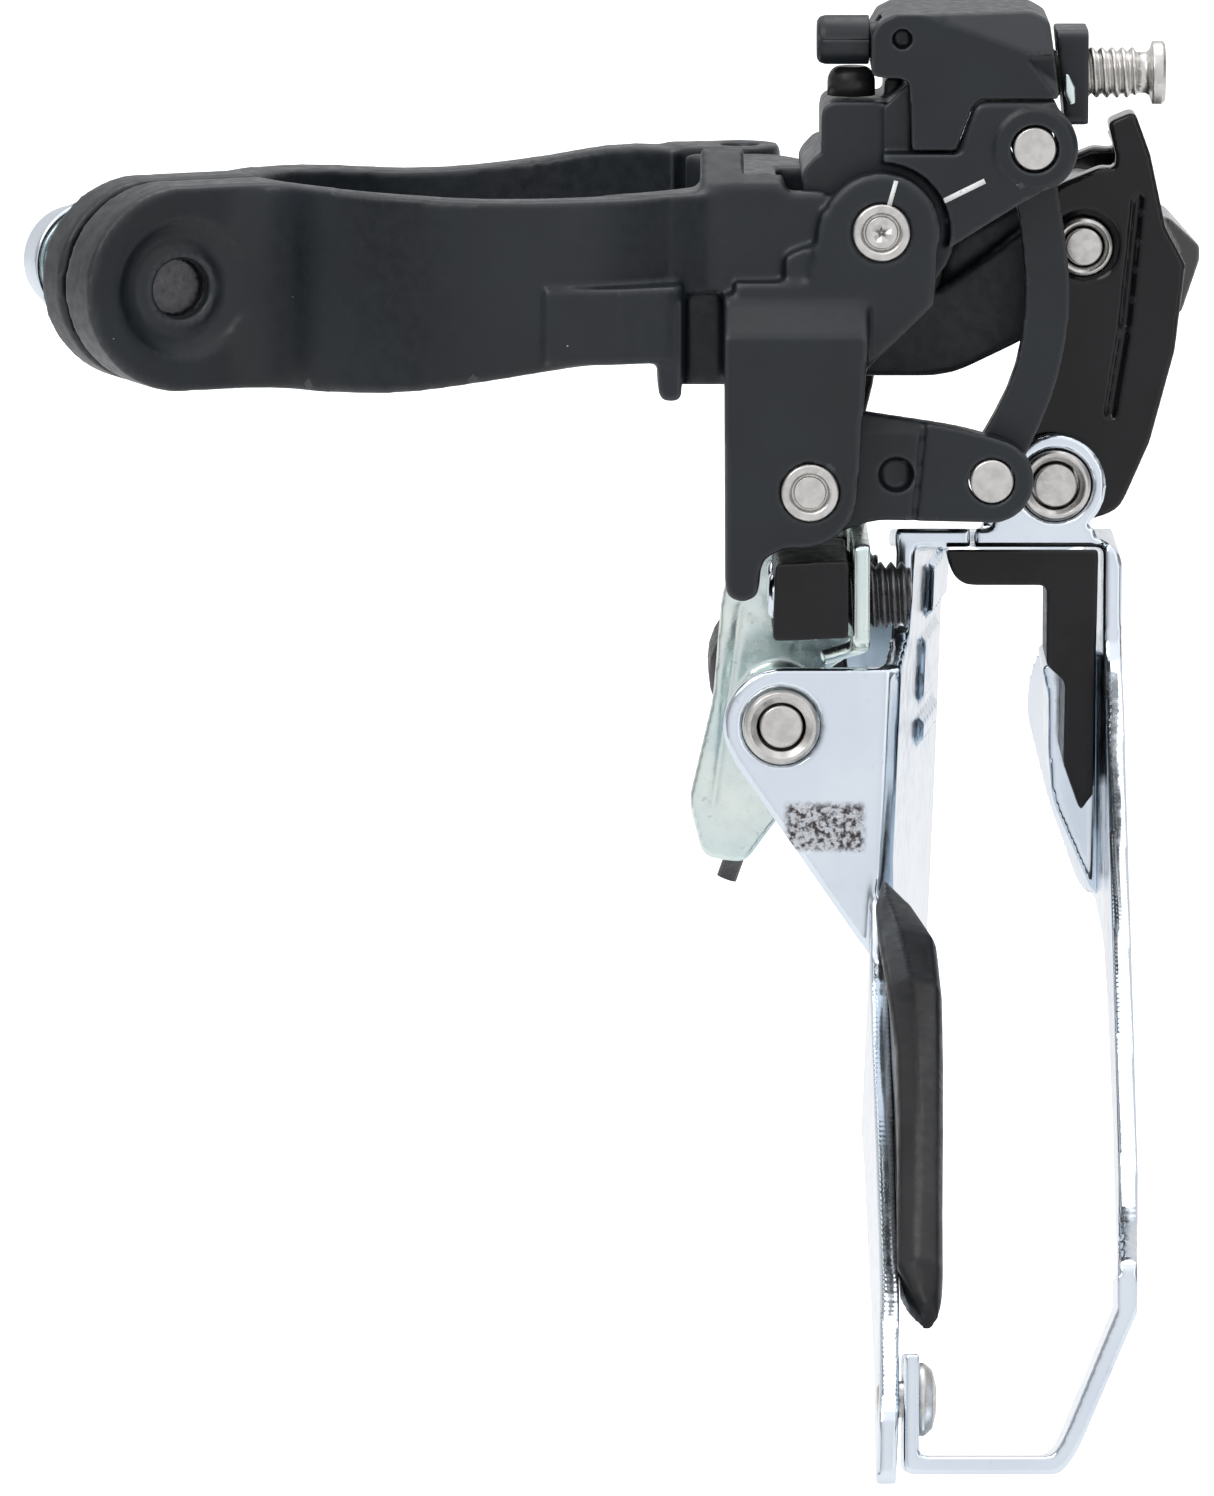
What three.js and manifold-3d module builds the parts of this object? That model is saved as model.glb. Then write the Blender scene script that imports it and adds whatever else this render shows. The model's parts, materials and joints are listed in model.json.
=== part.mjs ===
// A band-on road front derailleur with a toggle-link cable arm.
// Millimetres, +Z up along the seat tube, +X outboard to the drive side, +Y to the front of the bike.
// The origin is the seat tube's axis at mid height of the clamp band.
// Every link pivot is parallel to Y.
import * as THREE from "three";
import { mergeVertices } from "three/addons/utils/BufferGeometryUtils.js";
import Module from "manifold-3d";

const wasm = await Module();
wasm.setup();

// ---- driving dimensions ----
const GAP = 0.3; // between neighbours that touch or turn on each other
const TUBE_D = 34.9;
const BORE_R = TUBE_D / 2 + 0.05;
const BAND_R = 20.5;
const REAR_BAND = { x: 0.8, y: -0.4, r: 19.8 }; // outer surface of the fixed half, in the ear frame
const BAND_HALF = 7.1; // half height of the clamp ears

// pivots in the X Z plane
const A = { x: 27.0, z: 4.0 }; // cable arm on the bracket
const B = { x: 37.5, z: 9.7 }; // toggle link on the cable arm
const C = { x: 34.7, z: -13.4 }; // toggle link on the inner link
const D = { x: 22.1, z: -13.7 }; // inner link on the bracket
const E = { x: 20.2, z: -30.2 }; // inner link on the cage
const F = { x: 41.2, z: 2.1 }; // outer link on the bracket
const G = { x: F.x + E.x - D.x, z: F.z + E.z - D.z }; // outer link on the cage, a true parallelogram
const PIN_R = 1.5;
const BIG_PIN_R = 1.9;

// clamp bolt and ears, in a frame turned by the ear angle about Z
const EAR_ANGLE = THREE.MathUtils.degToRad(24);
const EAR_R = 25; // bolt axis from the tube's axis
const EAR_PART = 0.5; // half of the slit between the ears
const NEAR_EAR = 5;
const FAR_EAR = 4.0;
const EAR_FILLET = 3.6;
const EAR_FILLET_STEPS = 8;
const BOLT_R = 2.4;
const BOLT_HEAD_R = 4.4;

// band hinge, parallel to Z
const HINGE = { x: 17.6, y: 14.7 };
const HINGE_R = 2.9;
const HINGE_PIN_R = 1.2;
const KNUCKLE_HALF = 2.3;

// depths along Y of the stacked plates, from the rear of the bike to the front
const LEG_NEAR = [-17.5, -14.3];
const LEG_FAR = [9.3, 12.5];
const ARM_BOSS = [-15.4, -13.0];
const CRANK_PLATE = [-14.0, -11.7];
const TOGGLE = [-11.4, -9.2];
const ARM_PLATE = [-14.8, -11.7];
const ARM_FAR_PLATE = [-8.9, -7.4];
const ARM_HUB_END = 2.0;
const F_ARM = [-4.3, 6.1];
const OUTER_NEAR = [-7.0, -4.7];
const OUTER_FAR = [6.4, 8.6];
const G_LUG_NEAR = [-8.6, -7.3];
const G_LUG_FAR = [8.9, 10.2];
const E_LUG_NEAR = [-15.9, -14.6];
const E_LUG_FAR = [12.3, 13.6];
const LINK_WALL_NEAR = [-4.6, -3.3];
const LINK_WALL_FAR = [7.7, 9.0];
const LINK_END = 12.0;

// cage
const STEEL = 1.3;
const BB_DROP = 156.5; // bottom bracket axis below the origin
const OUTER_EDGE_R = 111; // lower edge of the outer plate about the bottom bracket
const BRIDGE_TOP = -17.4;
const BRIDGE_SLOPE = -0.14;
const BRIDGE_Y = [-8.6, 10.2];
const TAIL_Y = -71.5;
const TAIL_SLOPE = -0.21;
const TAIL_RIVET = { y: -66.5, z: -66.6 };
const LEAN = 0.04; // the inner plate leans inboard as it goes down from LEAN_Z
const LEAN_Z = -26;
const INNER_PATH = [[27.4, TAIL_Y], [27.5, -58], [27.1, -16], [27.9, -9], [30.6, 12], [31.6, 35]];
const OUTER_PATH = [[41.8, TAIL_Y + 0.4], [42.4, -58], [43.3, -14], [43.3, 8], [41.6, 20], [39.4, 33]];

// limit screws, parallel to X
const SCREW_Z = -21.3;
const SCREW_Y = [-14.0, -8.0];
const SCREW_R = 2.3;
const SCREW_FROM = 19.3;
const SCREW_TO = [29.1, 27.0];
const FLANGE_X = [25.1, 26.3];

// cable anchor
const CABLE_BOLT = { y: -6.0, z: 14.1 };
const CABLE_BOLT_R = 1.75;
const WASHER_X = [38.9, 41.4];

// return spring, a little above E
const SPRING_Z = -28.6;
const SPRING_R = 4.2;
const SPRING_WIRE_R = 0.72;
const SPRING_Y = [-2.25, 6.6];
const SPRING_TURNS = 5;

const FINE = 24; // sides of a pin
const WIDE = 72; // sides of the clamp band

// ---- materials ----
function finish(color, roughness, metalness) {
  return new THREE.MeshStandardMaterial({ color, roughness, metalness });
}
const satinBlack = finish(0x25282b, 0.5, 0.3);
const glossBlack = finish(0x08090a, 0.15, 0.2);
const chrome = finish(0xdfe6ec, 0.12, 1);
const zinc = finish(0xc9d4cd, 0.3, 1);
const stainless = finish(0xb9b6b0, 0.35, 1);
const springSteel = finish(0x4a4b4d, 0.4, 0.9);
const resin = finish(0x141516, 0.6, 0);

// ---- solids ----
function toSolid(geometry) {
  const bare = geometry.clone();
  bare.deleteAttribute("normal");
  bare.deleteAttribute("uv");
  const merged = mergeVertices(bare, 1e-4);
  return new wasm.Manifold(
    new wasm.Mesh({
      numProp: 3,
      vertProperties: merged.attributes.position.array,
      triVerts: new Uint32Array(merged.index.array),
    }),
  );
}

function toGeometry(solid) {
  const data = solid.getMesh();
  const geometry = new THREE.BufferGeometry();
  geometry.setAttribute("position", new THREE.BufferAttribute(data.vertProperties, 3));
  geometry.setIndex(new THREE.BufferAttribute(data.triVerts, 1));
  geometry.computeVertexNormals();
  return geometry;
}

const join = (...solids) => solids.reduce((sum, solid) => sum.add(solid));
const cut = (solid, ...tools) => tools.reduce((left, tool) => left.subtract(tool), solid);

// A closed shape through corners [u, v, fillet radius].
function outline(corners) {
  const shape = new THREE.Shape();
  const count = corners.length;
  corners.forEach(([u, v, radius = 0], i) => {
    const corner = new THREE.Vector2(u, v);
    const toward = (other) => {
      const step = new THREE.Vector2(other[0], other[1]).sub(corner);
      return corner.clone().add(step.setLength(Math.min(radius, step.length() * 0.49)));
    };
    const start = toward(corners[(i + count - 1) % count]);
    const end = toward(corners[(i + 1) % count]);
    if (i === 0) shape.moveTo(start.x, start.y);
    else shape.lineTo(start.x, start.y);
    if (radius > 0) shape.quadraticCurveTo(u, v, end.x, end.y);
  });
  shape.closePath();
  return shape;
}

function extruded(corners, depth, curveSegments = 3) {
  return new THREE.ExtrudeGeometry(outline(corners), { depth, curveSegments, bevelEnabled: false });
}

// A plate across Y from corners [x, z, fillet].
function plate(corners, [near, far]) {
  return toSolid(extruded(corners, far - near).rotateX(Math.PI / 2).translate(0, far, 0));
}

// A slab across Z from corners [x, y, fillet].
function slab(corners, [low, high]) {
  return toSolid(extruded(corners, high - low).translate(0, 0, low));
}

// A slice across X from corners [y, z, fillet].
function slice(corners, [left, right]) {
  const toYZ = new THREE.Matrix4().makeBasis(
    new THREE.Vector3(0, 1, 0),
    new THREE.Vector3(0, 0, 1),
    new THREE.Vector3(1, 0, 0),
  );
  return toSolid(extruded(corners, right - left).applyMatrix4(toYZ).translate(left, 0, 0));
}

// Round bars along Y, X and Z.
function barY({ x, z }, radius, [near, far], sides = FINE) {
  const geometry = new THREE.CylinderGeometry(radius, radius, far - near, sides);
  return toSolid(geometry.translate(x, (near + far) / 2, z));
}

function barX({ y, z }, radius, [left, right], sides = FINE) {
  const geometry = new THREE.CylinderGeometry(radius, radius, right - left, sides);
  return toSolid(geometry.rotateZ(Math.PI / 2).translate((left + right) / 2, y, z));
}

function barZ({ x, y }, radius, [low, high], sides = FINE) {
  const geometry = new THREE.CylinderGeometry(radius, radius, high - low, sides);
  return toSolid(geometry.rotateX(Math.PI / 2).translate(x, y, (low + high) / 2));
}

function box([x0, x1], [y0, y1], [z0, z1]) {
  const geometry = new THREE.BoxGeometry(x1 - x0, y1 - y0, z1 - z0);
  return toSolid(geometry.translate((x0 + x1) / 2, (y0 + y1) / 2, (z0 + z1) / 2));
}

function sleeveY(center, outer, inner, [near, far]) {
  return cut(barY(center, outer, [near, far]), barY(center, inner, [near - 1, far + 1]));
}

// A sheet of even thickness that follows a path [x, y], cut to a side view [y, z].
function followingSheet(path, inside, outside, side) {
  const left = path.map(([x, y]) => [x + inside, y]);
  const right = path.map(([x, y]) => [x + outside, y]).reverse();
  return slab([...left, ...right], [-90, 0]).intersect(slice(side, [0, 90]));
}

// Shears Z along Y and X along Z, then moves by x and y. The matrix is listed by columns.
function sheared(solid, zPerY, xPerZ, [x, y]) {
  return solid.transform([1, 0, 0, 0, 0, 1, zPerY, 0, xPerZ, 0, 1, 0, x, y, 0, 1]);
}
const leaning = (solid) => sheared(solid, 0, LEAN, [-LEAN * LEAN_Z, 0]);

// The ear frame: local Y is the clamp bolt's axis, local -X points away from the tube.
const inEarFrame = (solid) => solid.rotate([0, 0, THREE.MathUtils.radToDeg(EAR_ANGLE)]);
const EAR_CENTER = { x: -EAR_R, z: 0 };

const object = new THREE.Group();

function addPart(name, solid, material) {
  const part = new THREE.Mesh(toGeometry(solid), material);
  part.name = name;
  object.add(part);
}

// ---- clamp: fixed half on the bracket, hinged half in front ----
function ear(range, holeRadius) {
  const tongue = box([-EAR_R, -16.5], range, [-BAND_HALF, BAND_HALF]);
  const solid = join(tongue, barY(EAR_CENTER, BAND_HALF, range, 40));
  return cut(solid, barY(EAR_CENTER, holeRadius, [range[0] - 1, range[1] + 1]));
}

const bandRing = barZ({ x: 0, y: 0 }, BAND_R, [-8, 8], WIDE);
const rearRing = inEarFrame(barZ(REAR_BAND, REAR_BAND.r, [-8, 8], WIDE));
const tubeBore = barZ({ x: 0, y: 0 }, BORE_R, [-30, 30], WIDE);

// Fills the corner between the near ear's face and the band with a round of radius EAR_FILLET.
function earFillet() {
  const centerY = -NEAR_EAR - EAR_FILLET;
  const reach = REAR_BAND.r + EAR_FILLET;
  const centerX = REAR_BAND.x - Math.sqrt(reach ** 2 - (centerY - REAR_BAND.y) ** 2);
  const end = Math.atan2(REAR_BAND.y - centerY, REAR_BAND.x - centerX);
  const arc = [];
  for (let i = 0; i <= EAR_FILLET_STEPS; i += 1) {
    const angle = THREE.MathUtils.lerp(Math.PI / 2, end, i / EAR_FILLET_STEPS);
    arc.push([centerX + EAR_FILLET * Math.cos(angle), centerY + EAR_FILLET * Math.sin(angle)]);
  }
  return slab([...arc, [-16, -4], [centerX, -4]], [-BAND_HALF, BAND_HALF]);
}

function fixedBand() {
  const silhouette = plate(
    [
      [-40, -7.1], [-13, -7.1, 3], [-6, -6.8, 3], [1, -5.6, 3], [7, -4.7, 2], [21, -4.7], [21, 6.6],
      [0, 6.6, 3], [-13, 7.1, 3], [-40, 7.1],
    ],
    [-22, 12],
  );
  const half = inEarFrame(box([-30, 30], [-30, -EAR_PART], [-9, 9]));
  const recess = barY(EAR_CENTER, 3.9, [-NEAR_EAR - 1, -NEAR_EAR + 0.7], 40);
  const boss = sleeveY(EAR_CENTER, 3.0, BOLT_R + 0.25, [-NEAR_EAR + 0.2, -NEAR_EAR + 0.8]);
  const lug = join(cut(ear([-NEAR_EAR, -EAR_PART], BOLT_R + 0.25), recess), boss, earFillet());
  return join(rearRing.intersect(half), inEarFrame(lug)).intersect(silhouette);
}

const middleKnuckleRoom = [-KNUCKLE_HALF - GAP, KNUCKLE_HALF + GAP];

function hingedBand() {
  const silhouette = plate(
    [
      [-22, -6], [-14, -5.6, 3], [-5, -4.6, 4], [3, -4.6, 4], [9, -6.2, 3], [24, -6.2], [24, 7],
      [9, 6.8, 3], [3, 5.4, 4], [-5, 4.6, 4], [-14, 5.6, 3], [-22, 6],
    ],
    [-22, 24],
  );
  const half = inEarFrame(box([-30, 30], [EAR_PART, 30], [-9, 9]));
  const away = slab([[-40, -25], [0, 0], [12.6, 11.7], [17.4, 16.0], [17.4, 40], [-40, 40]], [-9, 9]);
  const lug = inEarFrame(ear([EAR_PART, FAR_EAR], BOLT_R + 0.75));
  const knuckle = barZ(HINGE, HINGE_R, [-6.2, 7.0]);
  const neck = slab([
    [12.2, 16.4], [13.6, 12.4], [HINGE.x, HINGE.y - 2.4], [HINGE.x, HINGE.y + 2.7],
  ], [-6.2, 7.0]);
  const hub = join(barZ(HINGE, HINGE_R + GAP, middleKnuckleRoom), slab([
    [14, 9], [22, 9], [22, HINGE.y], [14.2, HINGE.y],
  ], middleKnuckleRoom));
  const band = bandRing.intersect(half).intersect(away).intersect(silhouette);
  return cut(join(band, lug, knuckle, neck), tubeBore, hub, barZ(HINGE, HINGE_PIN_R + 0.15, [-9, 9]));
}

// ---- bracket ----
function bracketBody() {
  const block = slab(
    [
      [8, -16], [11.8, -16.8, 2], [15.6, -14.2, 2], [23.0, -14.2], [23.0, 6, 2], [20.4, 11.2, 2],
      [12.6, 11.2], [8, 6],
    ],
    [-6.2, 6.7],
  );
  const under = box([7, 11.6], [-20, -10], [-7, -4.7]);
  const ridge = slice([
    [-14.2, 6.0], [-14.2, 7.1], [-11.0, 9.3], [-10.2, 9.3], [-10.2, 6.0],
  ], [14.6, 17.6]);
  const ledge = slice([[-14.2, 6.0], [-14.2, 7.1], [-12.95, 7.9], [-12.95, 6.0]], [17.5, 20.4]);
  const knuckle = join(
    barZ(HINGE, HINGE_R, [-KNUCKLE_HALF, KNUCKLE_HALF]),
    slab([
      [15.2, 10], [20.0, 10], [HINGE.x + 2.6, HINGE.y], [HINGE.x - 2.6, HINGE.y],
    ], [-KNUCKLE_HALF, KNUCKLE_HALF]),
  );
  return cut(join(cut(block, under), ridge, ledge, knuckle), barZ(HINGE, HINGE_PIN_R + 0.1, [-9, 9]));
}

function rearRib() {
  const shelf = slab([[4, -20.05], [9, -19.5], [13.3, -18.0, 1], [13.3, -12], [4, -15]], [-4.7, 0.6]);
  const foot = plate([[11.5, -0.4], [13.3, -0.4], [13.3, -7.4, 0.6], [11.7, -7.4, 0.8]], [-18.0, -13]);
  const web = plate([[13, 0.2], [17, 0.2], [17, -6.9], [13, -6.9]], [-12.7, -11.6]);
  return join(shelf, foot, web);
}

function innerLinkClevis() {
  const slopeTop = slice([
    [-14.3, -0.4], [-15.2, -0.4], [-17.5, -3.0], [-17.5, -30], [-14.3, -30],
  ], [10, 30]);
  const near = plate(
    [
      [16.2, 0.5], [26.1, 0.5], [26.1, -3], [25.3, -15.4, 1.5], [23.2, -17.6, 1.5],
      [20.6, -17.5, 1.2], [18.8, -18.4, 0.8], [18.6, -21.3, 1.1], [16.3, -21.3, 1.1],
    ],
    LEG_NEAR,
  ).intersect(slopeTop);
  const bridge = plate([
    [16.2, -0.3], [26.1, -0.3], [26.1, -5.4], [24, -6.4], [16.2, -6.4],
  ], [-15.4, -13]);
  const far = plate(
    [
      [18, -2], [27.2, -2], [27.2, -9, 1], [25.6, -15.4, 1.5], [23.6, -17.4, 1.5],
      [20.6, -17.4, 1.5], [18.6, -15, 1.5], [18, -8],
    ],
    LEG_FAR,
  );
  return join(near, bridge, far);
}

function armClevis() {
  const boss = barY(A, 4.05, ARM_BOSS, 36);
  const cheek = plate([
    [22.9, 5.4], [30.9, 4.4], [30.7, -1.0, 0.6], [28.4, -3.3, 0.6], [25.6, -5.8], [21.4, -5.8],
    [21.8, -0.4],
  ], ARM_BOSS);
  const wall = plate([[19, 6.6, 0.5], [23.4, 6.6, 0.5], [23.4, -1], [19, -1]], [-14.0, -12.9]);
  const rib = plate([[20.4, 2.4, 0.5], [22.4, 3.1, 0.3], [22.2, -0.6], [20.4, -0.6]], [-15.0, -13]);
  const floor = plate([
    [17, 0.5], [30.7, 0.5], [30.7, -1.0], [28.4, -3.3], [25.6, -5.8], [23.6, -6.6], [17, -6.6],
  ], [-15.4, 12.5]);
  const farBoss = join(
    barY(A, 4.4, [ARM_HUB_END + GAP, 5.3], 36),
    plate([[22.7, 5.2], [31.2, 4.8], [30.7, -1.5], [22.6, -1.5]], [ARM_HUB_END + GAP, 5.3]),
  );
  const hubRoom = join(
    barY(A, 5.6, [-12.95, ARM_HUB_END + GAP], 36),
    barY(A, 7.05, [-12.9, ARM_HUB_END + GAP], 36).intersect(box([10, 24], [-20, 20], [-1, 12])),
    box([20, 34], [-12.95, ARM_HUB_END + GAP], [4, 14]),
    plate([[17.7, 7.5], [20.9, 7.5], [20.9, 4.3]], [-12.95, -2.7]),
  );
  return { solid: join(boss, cheek, wall, rib, floor, farBoss), hubRoom };
}

function outerLinkArm() {
  const neck = plate(
    [
      [20, -1], [20, -6.6], [26.2, -7.3], [32.0, -7.3, 1.5], [37.4, -4.7, 1.5], [42.8, -1.1],
      [40.0, 5.4], [35.2, 1.4, 2], [30.5, -1.8, 2],
    ],
    F_ARM,
  );
  return join(neck, barY(F, 3.6, F_ARM, 32));
}

const armSide = armClevis();
const rearSlot = box([13.5, 16.2], [-20, -12.7], [-9, -0.4]);
const bandKnuckleRoom = [
  [-8, -KNUCKLE_HALF - GAP], [KNUCKLE_HALF + GAP, 8],
].map((range) => barZ(HINGE, HINGE_R + GAP, range));
const bracket = cut(
  join(fixedBand(), bracketBody(), rearRib(), innerLinkClevis(), armSide.solid, outerLinkArm()),
  armSide.hubRoom,
  rearSlot,
  ...bandKnuckleRoom,
  tubeBore,
  barY(A, BIG_PIN_R + 0.1, [-20, 8]),
  barY(D, BIG_PIN_R + 0.1, [-20, 14]),
  barY(F, PIN_R - 0.05, [-6, 8]),
);
addPart("base_bracket", bracket, satinBlack);
addPart("band_arm", hingedBand(), satinBlack);
addPart("band_hinge_pin", barZ(HINGE, HINGE_PIN_R, [-6.0, 6.5]), stainless);

// ---- clamp bolt and its washer ----
const boltHead = join(
  barY(EAR_CENTER, BOLT_R, [-3.8, 12]),
  barY(EAR_CENTER, BOLT_HEAD_R, [12.0, 16.7], 36),
);
const boltSocket = barY(EAR_CENTER, 2.0, [13.6, 18], 6);
addPart("clamp_bolt", inEarFrame(cut(boltHead, boltSocket)), chrome);
addPart("clamp_washer", inEarFrame(sleeveY(EAR_CENTER, 3.9, BOLT_R + 0.2, [10.8, 11.7])), zinc);

// ---- pins on the bracket ----
addPart("arm_pivot_pin", barY(A, BIG_PIN_R, [-15.7, 5.6]), stainless);
addPart("inner_link_pin", barY(D, BIG_PIN_R, [-17.8, 12.8]), stainless);
addPart("outer_link_pin", barY(F, PIN_R - 0.2, [-7.4, 9.0]), stainless);

// ---- cable arm ----
function cableArm() {
  const core = barY(A, 3.1, [-12.7, ARM_HUB_END]);
  const hubRear = barY(A, 5.2, [-8.9, ARM_HUB_END], 36);
  const hubFront = barY(A, 5.2, [-12.7, -11.7], 36);
  const nearPlate = join(
    plate([
      [27.1, 2.4], [31.0, 2.4], [36.4, 5.8], [39.5, 7.5], [35.3, 11.8], [33.0, 9.3, 1], [27.1, 9.3],
    ], ARM_PLATE),
    plate([[32.4, 9.0], [33.5, 12.7, 0.4], [37.5, 12.7], [37.5, 9.0]], ARM_PLATE),
    barY(B, 3.0, ARM_PLATE, 32),
  );
  const relief = barY(A, 4.75, [-16, -12.7], 36);
  const farPlate = join(
    plate([[27, 1], [31.5, 2.6], [38.6, 8.2], [36.4, 11.4], [32.4, 9.4], [27, 9.3]], ARM_FAR_PLATE),
    barY(B, 2.0, ARM_FAR_PLATE),
  );
  const flank = plate([
    [21.7, 6.5, 0.6], [21.5, 7.9, 0.6], [22.7, 9.2, 0.4], [27.2, 9.2], [27.2, 4], [23, 4],
  ], [-12.7, ARM_HUB_END]);
  const block = plate([[22.9, 9.0], [22.9, 12.7, 1], [27.5, 12.7, 0.4], [27.5, 9.0]], [-12.7, -3]);
  const saddle = plate([[27.2, 8.2], [27.2, 9.2], [33.2, 9.2], [33.2, 8.2]], [-12.0, -3]);
  const post = plate([[27.3, 9], [27.3, 14.0, 0.4], [28.6, 14.0, 0.4], [28.6, 9]], [-9, -3]);
  const hub = join(core, hubRear, hubFront, flank);
  const solid = join(cut(nearPlate, relief), farPlate, hub, block, saddle, post);
  return cut(solid, barY(A, BIG_PIN_R + 0.15, [-20, 8]), barY(B, PIN_R + 0.1, [-20, 0]));
}
addPart("cable_arm", cableArm(), satinBlack);
addPart("toggle_upper_pin", barY(B, PIN_R, [-14.9, -7.5]), stainless);

function anchorBlock() {
  const body = plate(
    [
      [26.3, 18.9, 0.5], [37.4, 18.9, 0.3], [38.6, 18.2, 0.3], [39.2, 13.05, 0.3],
      [33.6, 13.05, 0.6], [33.2, 12.4], [32.1, 9.5, 0.3], [29.1, 9.5, 0.3], [28.9, 14.4, 0.6],
      [26.3, 14.6, 0.4],
    ],
    [-14.4, -2.5],
  );
  const slope = slice([[-15, 20], [-15, 17.2], [-13.2, 20]], [31, 40]);
  const boltHole = barX(CABLE_BOLT, CABLE_BOLT_R + 0.25, [33, 42]);
  const smallHole = barY({ x: 28.4, z: 17.2 }, 0.7, [-16, -13.2], 16);
  const pocket = box([25, 28.4], [-11.9, -8.7], [15.2, 18.4]);
  return cut(body, slope, boltHole, smallHole, pocket);
}
addPart("cable_anchor_block", anchorBlock(), satinBlack);

function anchorSlider() {
  const head = plate([[22.6, 15.1, 1], [22.6, 18.5, 1], [26.0, 18.5], [26.0, 15.1]], [-12.2, -8.4]);
  return join(head, box([25, 28.1], [-11.6, -9.0], [15.5, 18.1]));
}
addPart("anchor_slider", anchorSlider(), satinBlack);

function adjusterCap() {
  const axis = { x: 25.0, y: -9.9 };
  const cone = new THREE.CylinderGeometry(1.1, 1.65, 0.8, FINE).rotateX(Math.PI / 2);
  return join(barZ(axis, 1.65, [12.95, 13.8]), toSolid(cone.translate(axis.x, axis.y, 14.19)));
}
addPart("adjuster_cap", adjusterCap(), resin);

// ---- cable clamp ----
const washerPlate = slice([
  [-9.1, 10.7, 0.8], [-2.9, 10.7, 0.8], [-2.9, 17.3, 0.8], [-9.1, 17.3, 0.8],
], WASHER_X).intersect(plate([
  [39.05, 18], [42, 18], [42, 10], [39.85, 10],
], [-10, -2]));
const washerHole = barX(CABLE_BOLT, CABLE_BOLT_R + 0.2, [38, 43]);
addPart("cable_washer_plate", cut(washerPlate, washerHole), satinBlack);
addPart("cable_clamp_tab", box([39.7, 40.4], [-10.6, -9.4], [12.7, 14.4]), zinc);
addPart("cable_bolt", join(
  barX(CABLE_BOLT, CABLE_BOLT_R, [34.2, 45.9]),
  barX(CABLE_BOLT, 2.2, [45.8, 46.8]),
), stainless);

// ---- toggle link: a bowed bar between B and C ----
function toggleLink() {
  const bar = plate(
    [
      [38.9, 8.6], [39.6, 4.5, 3], [40.3, -1.2, 5], [39.3, -7.2, 4], [37.0, -12.2], [33.4, -14.2],
      [33.2, -12.2], [36.4, -6.6, 3], [37.2, -1.2, 5], [36.7, 4.2, 3], [35.7, 8.8],
    ],
    TOGGLE,
  );
  const solid = join(bar, barY(B, 2.6, TOGGLE), barY(C, 2.7, TOGGLE));
  return cut(solid, barY(B, PIN_R + 0.15, [-20, 0]), barY(C, PIN_R + 0.45, [-20, 0]));
}
addPart("toggle_link", toggleLink(), satinBlack);

// ---- inner link: crank arm, steel channel, limit screws, spring ----
function crankArm() {
  const arm = plate(
    [
      [21, -9.9, 1], [25.8, -8.7], [32.4, -9.7, 2], [35.2, -10.5], [35.2, -16.3],
      [31.6, -16.2, 1.5], [26.5, -16.1, 1], [23, -17.4, 1], [19.5, -16, 1.5], [18.6, -13, 1.5],
    ],
    CRANK_PLATE,
  );
  const solid = join(arm, barY(C, 2.9, CRANK_PLATE, 32), barY(D, 3.5, [CRANK_PLATE[0], -4.9], 32));
  return cut(solid, barY(D, BIG_PIN_R + 0.15, [-20, 0]), barY(C, PIN_R + 0.1, [-20, 0]));
}
addPart("crank_arm", crankArm(), satinBlack);
addPart("toggle_lower_pin", barY(C, PIN_R, [-14.1, -9.3]), stainless);

const screwHoles = (range) => SCREW_Y.map((y) => barX({ y, z: SCREW_Z }, SCREW_R + 0.15, range));

function innerLink() {
  const nearWall = plate(
    [
      [20, -12], [25, -12.5, 1], [26.3, -16.9], [26.3, -26.2, 0.5], [23.6, -28], [23.4, -33, 1],
      [20.4, -38.2, 0.5], [17.8, -41.7, 0.8], [14.9, -41.2, 0.8], [13.9, -37.3, 0.8],
      [15.6, -30, 1], [16.2, -22.6, 1], [18.6, -16],
    ],
    LINK_WALL_NEAR,
  );
  const farWall = plate([
    [19, -12, 1], [25.2, -12, 1], [24.4, -24, 1], [23.3, -32, 1.5], [20, -33.6, 1.5],
    [17, -32, 1.5], [18, -22, 1],
  ], LINK_WALL_FAR);
  const barrels = join(
    barY(D, 3.4, [LINK_WALL_NEAR[0], 9.0], 32),
    barY(E, 2.6, [-14.2, LINK_WALL_NEAR[0] + 1]),
    barY(E, 2.6, [LINK_WALL_FAR[0], LINK_END]),
  );
  const topWeb = plate([
    [19.2, -15], [25.4, -15], [25.2, -24.0], [23.9, -24.0], [19.0, -22.8],
  ], [LINK_WALL_NEAR[0], LINK_WALL_FAR[1]]);
  const spare = plate([
    [20.4, -17.6], [23.8, -17.6], [23.7, -25], [18, -25], [19.8, -22],
  ], [LINK_WALL_NEAR[1] , LINK_WALL_FAR[0] ]);
  const flange = slice([
    [-17.0, -17.4, 0.6], [-3.4, -17.4], [-3.4, -25.6], [-11.0, -25.8, 1], [-17.0, -24.6, 0.6],
  ], FLANGE_X);
  const solid = join(nearWall, farWall, barrels, cut(topWeb, spare), flange);
  return cut(
    solid,
    barY(D, BIG_PIN_R + 0.15, [-20, 14]),
    barY(E, PIN_R + 0.25, [-20, 14]),
    ...screwHoles([24, 28]),
  );
}
addPart("inner_link", innerLink(), zinc);

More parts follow.
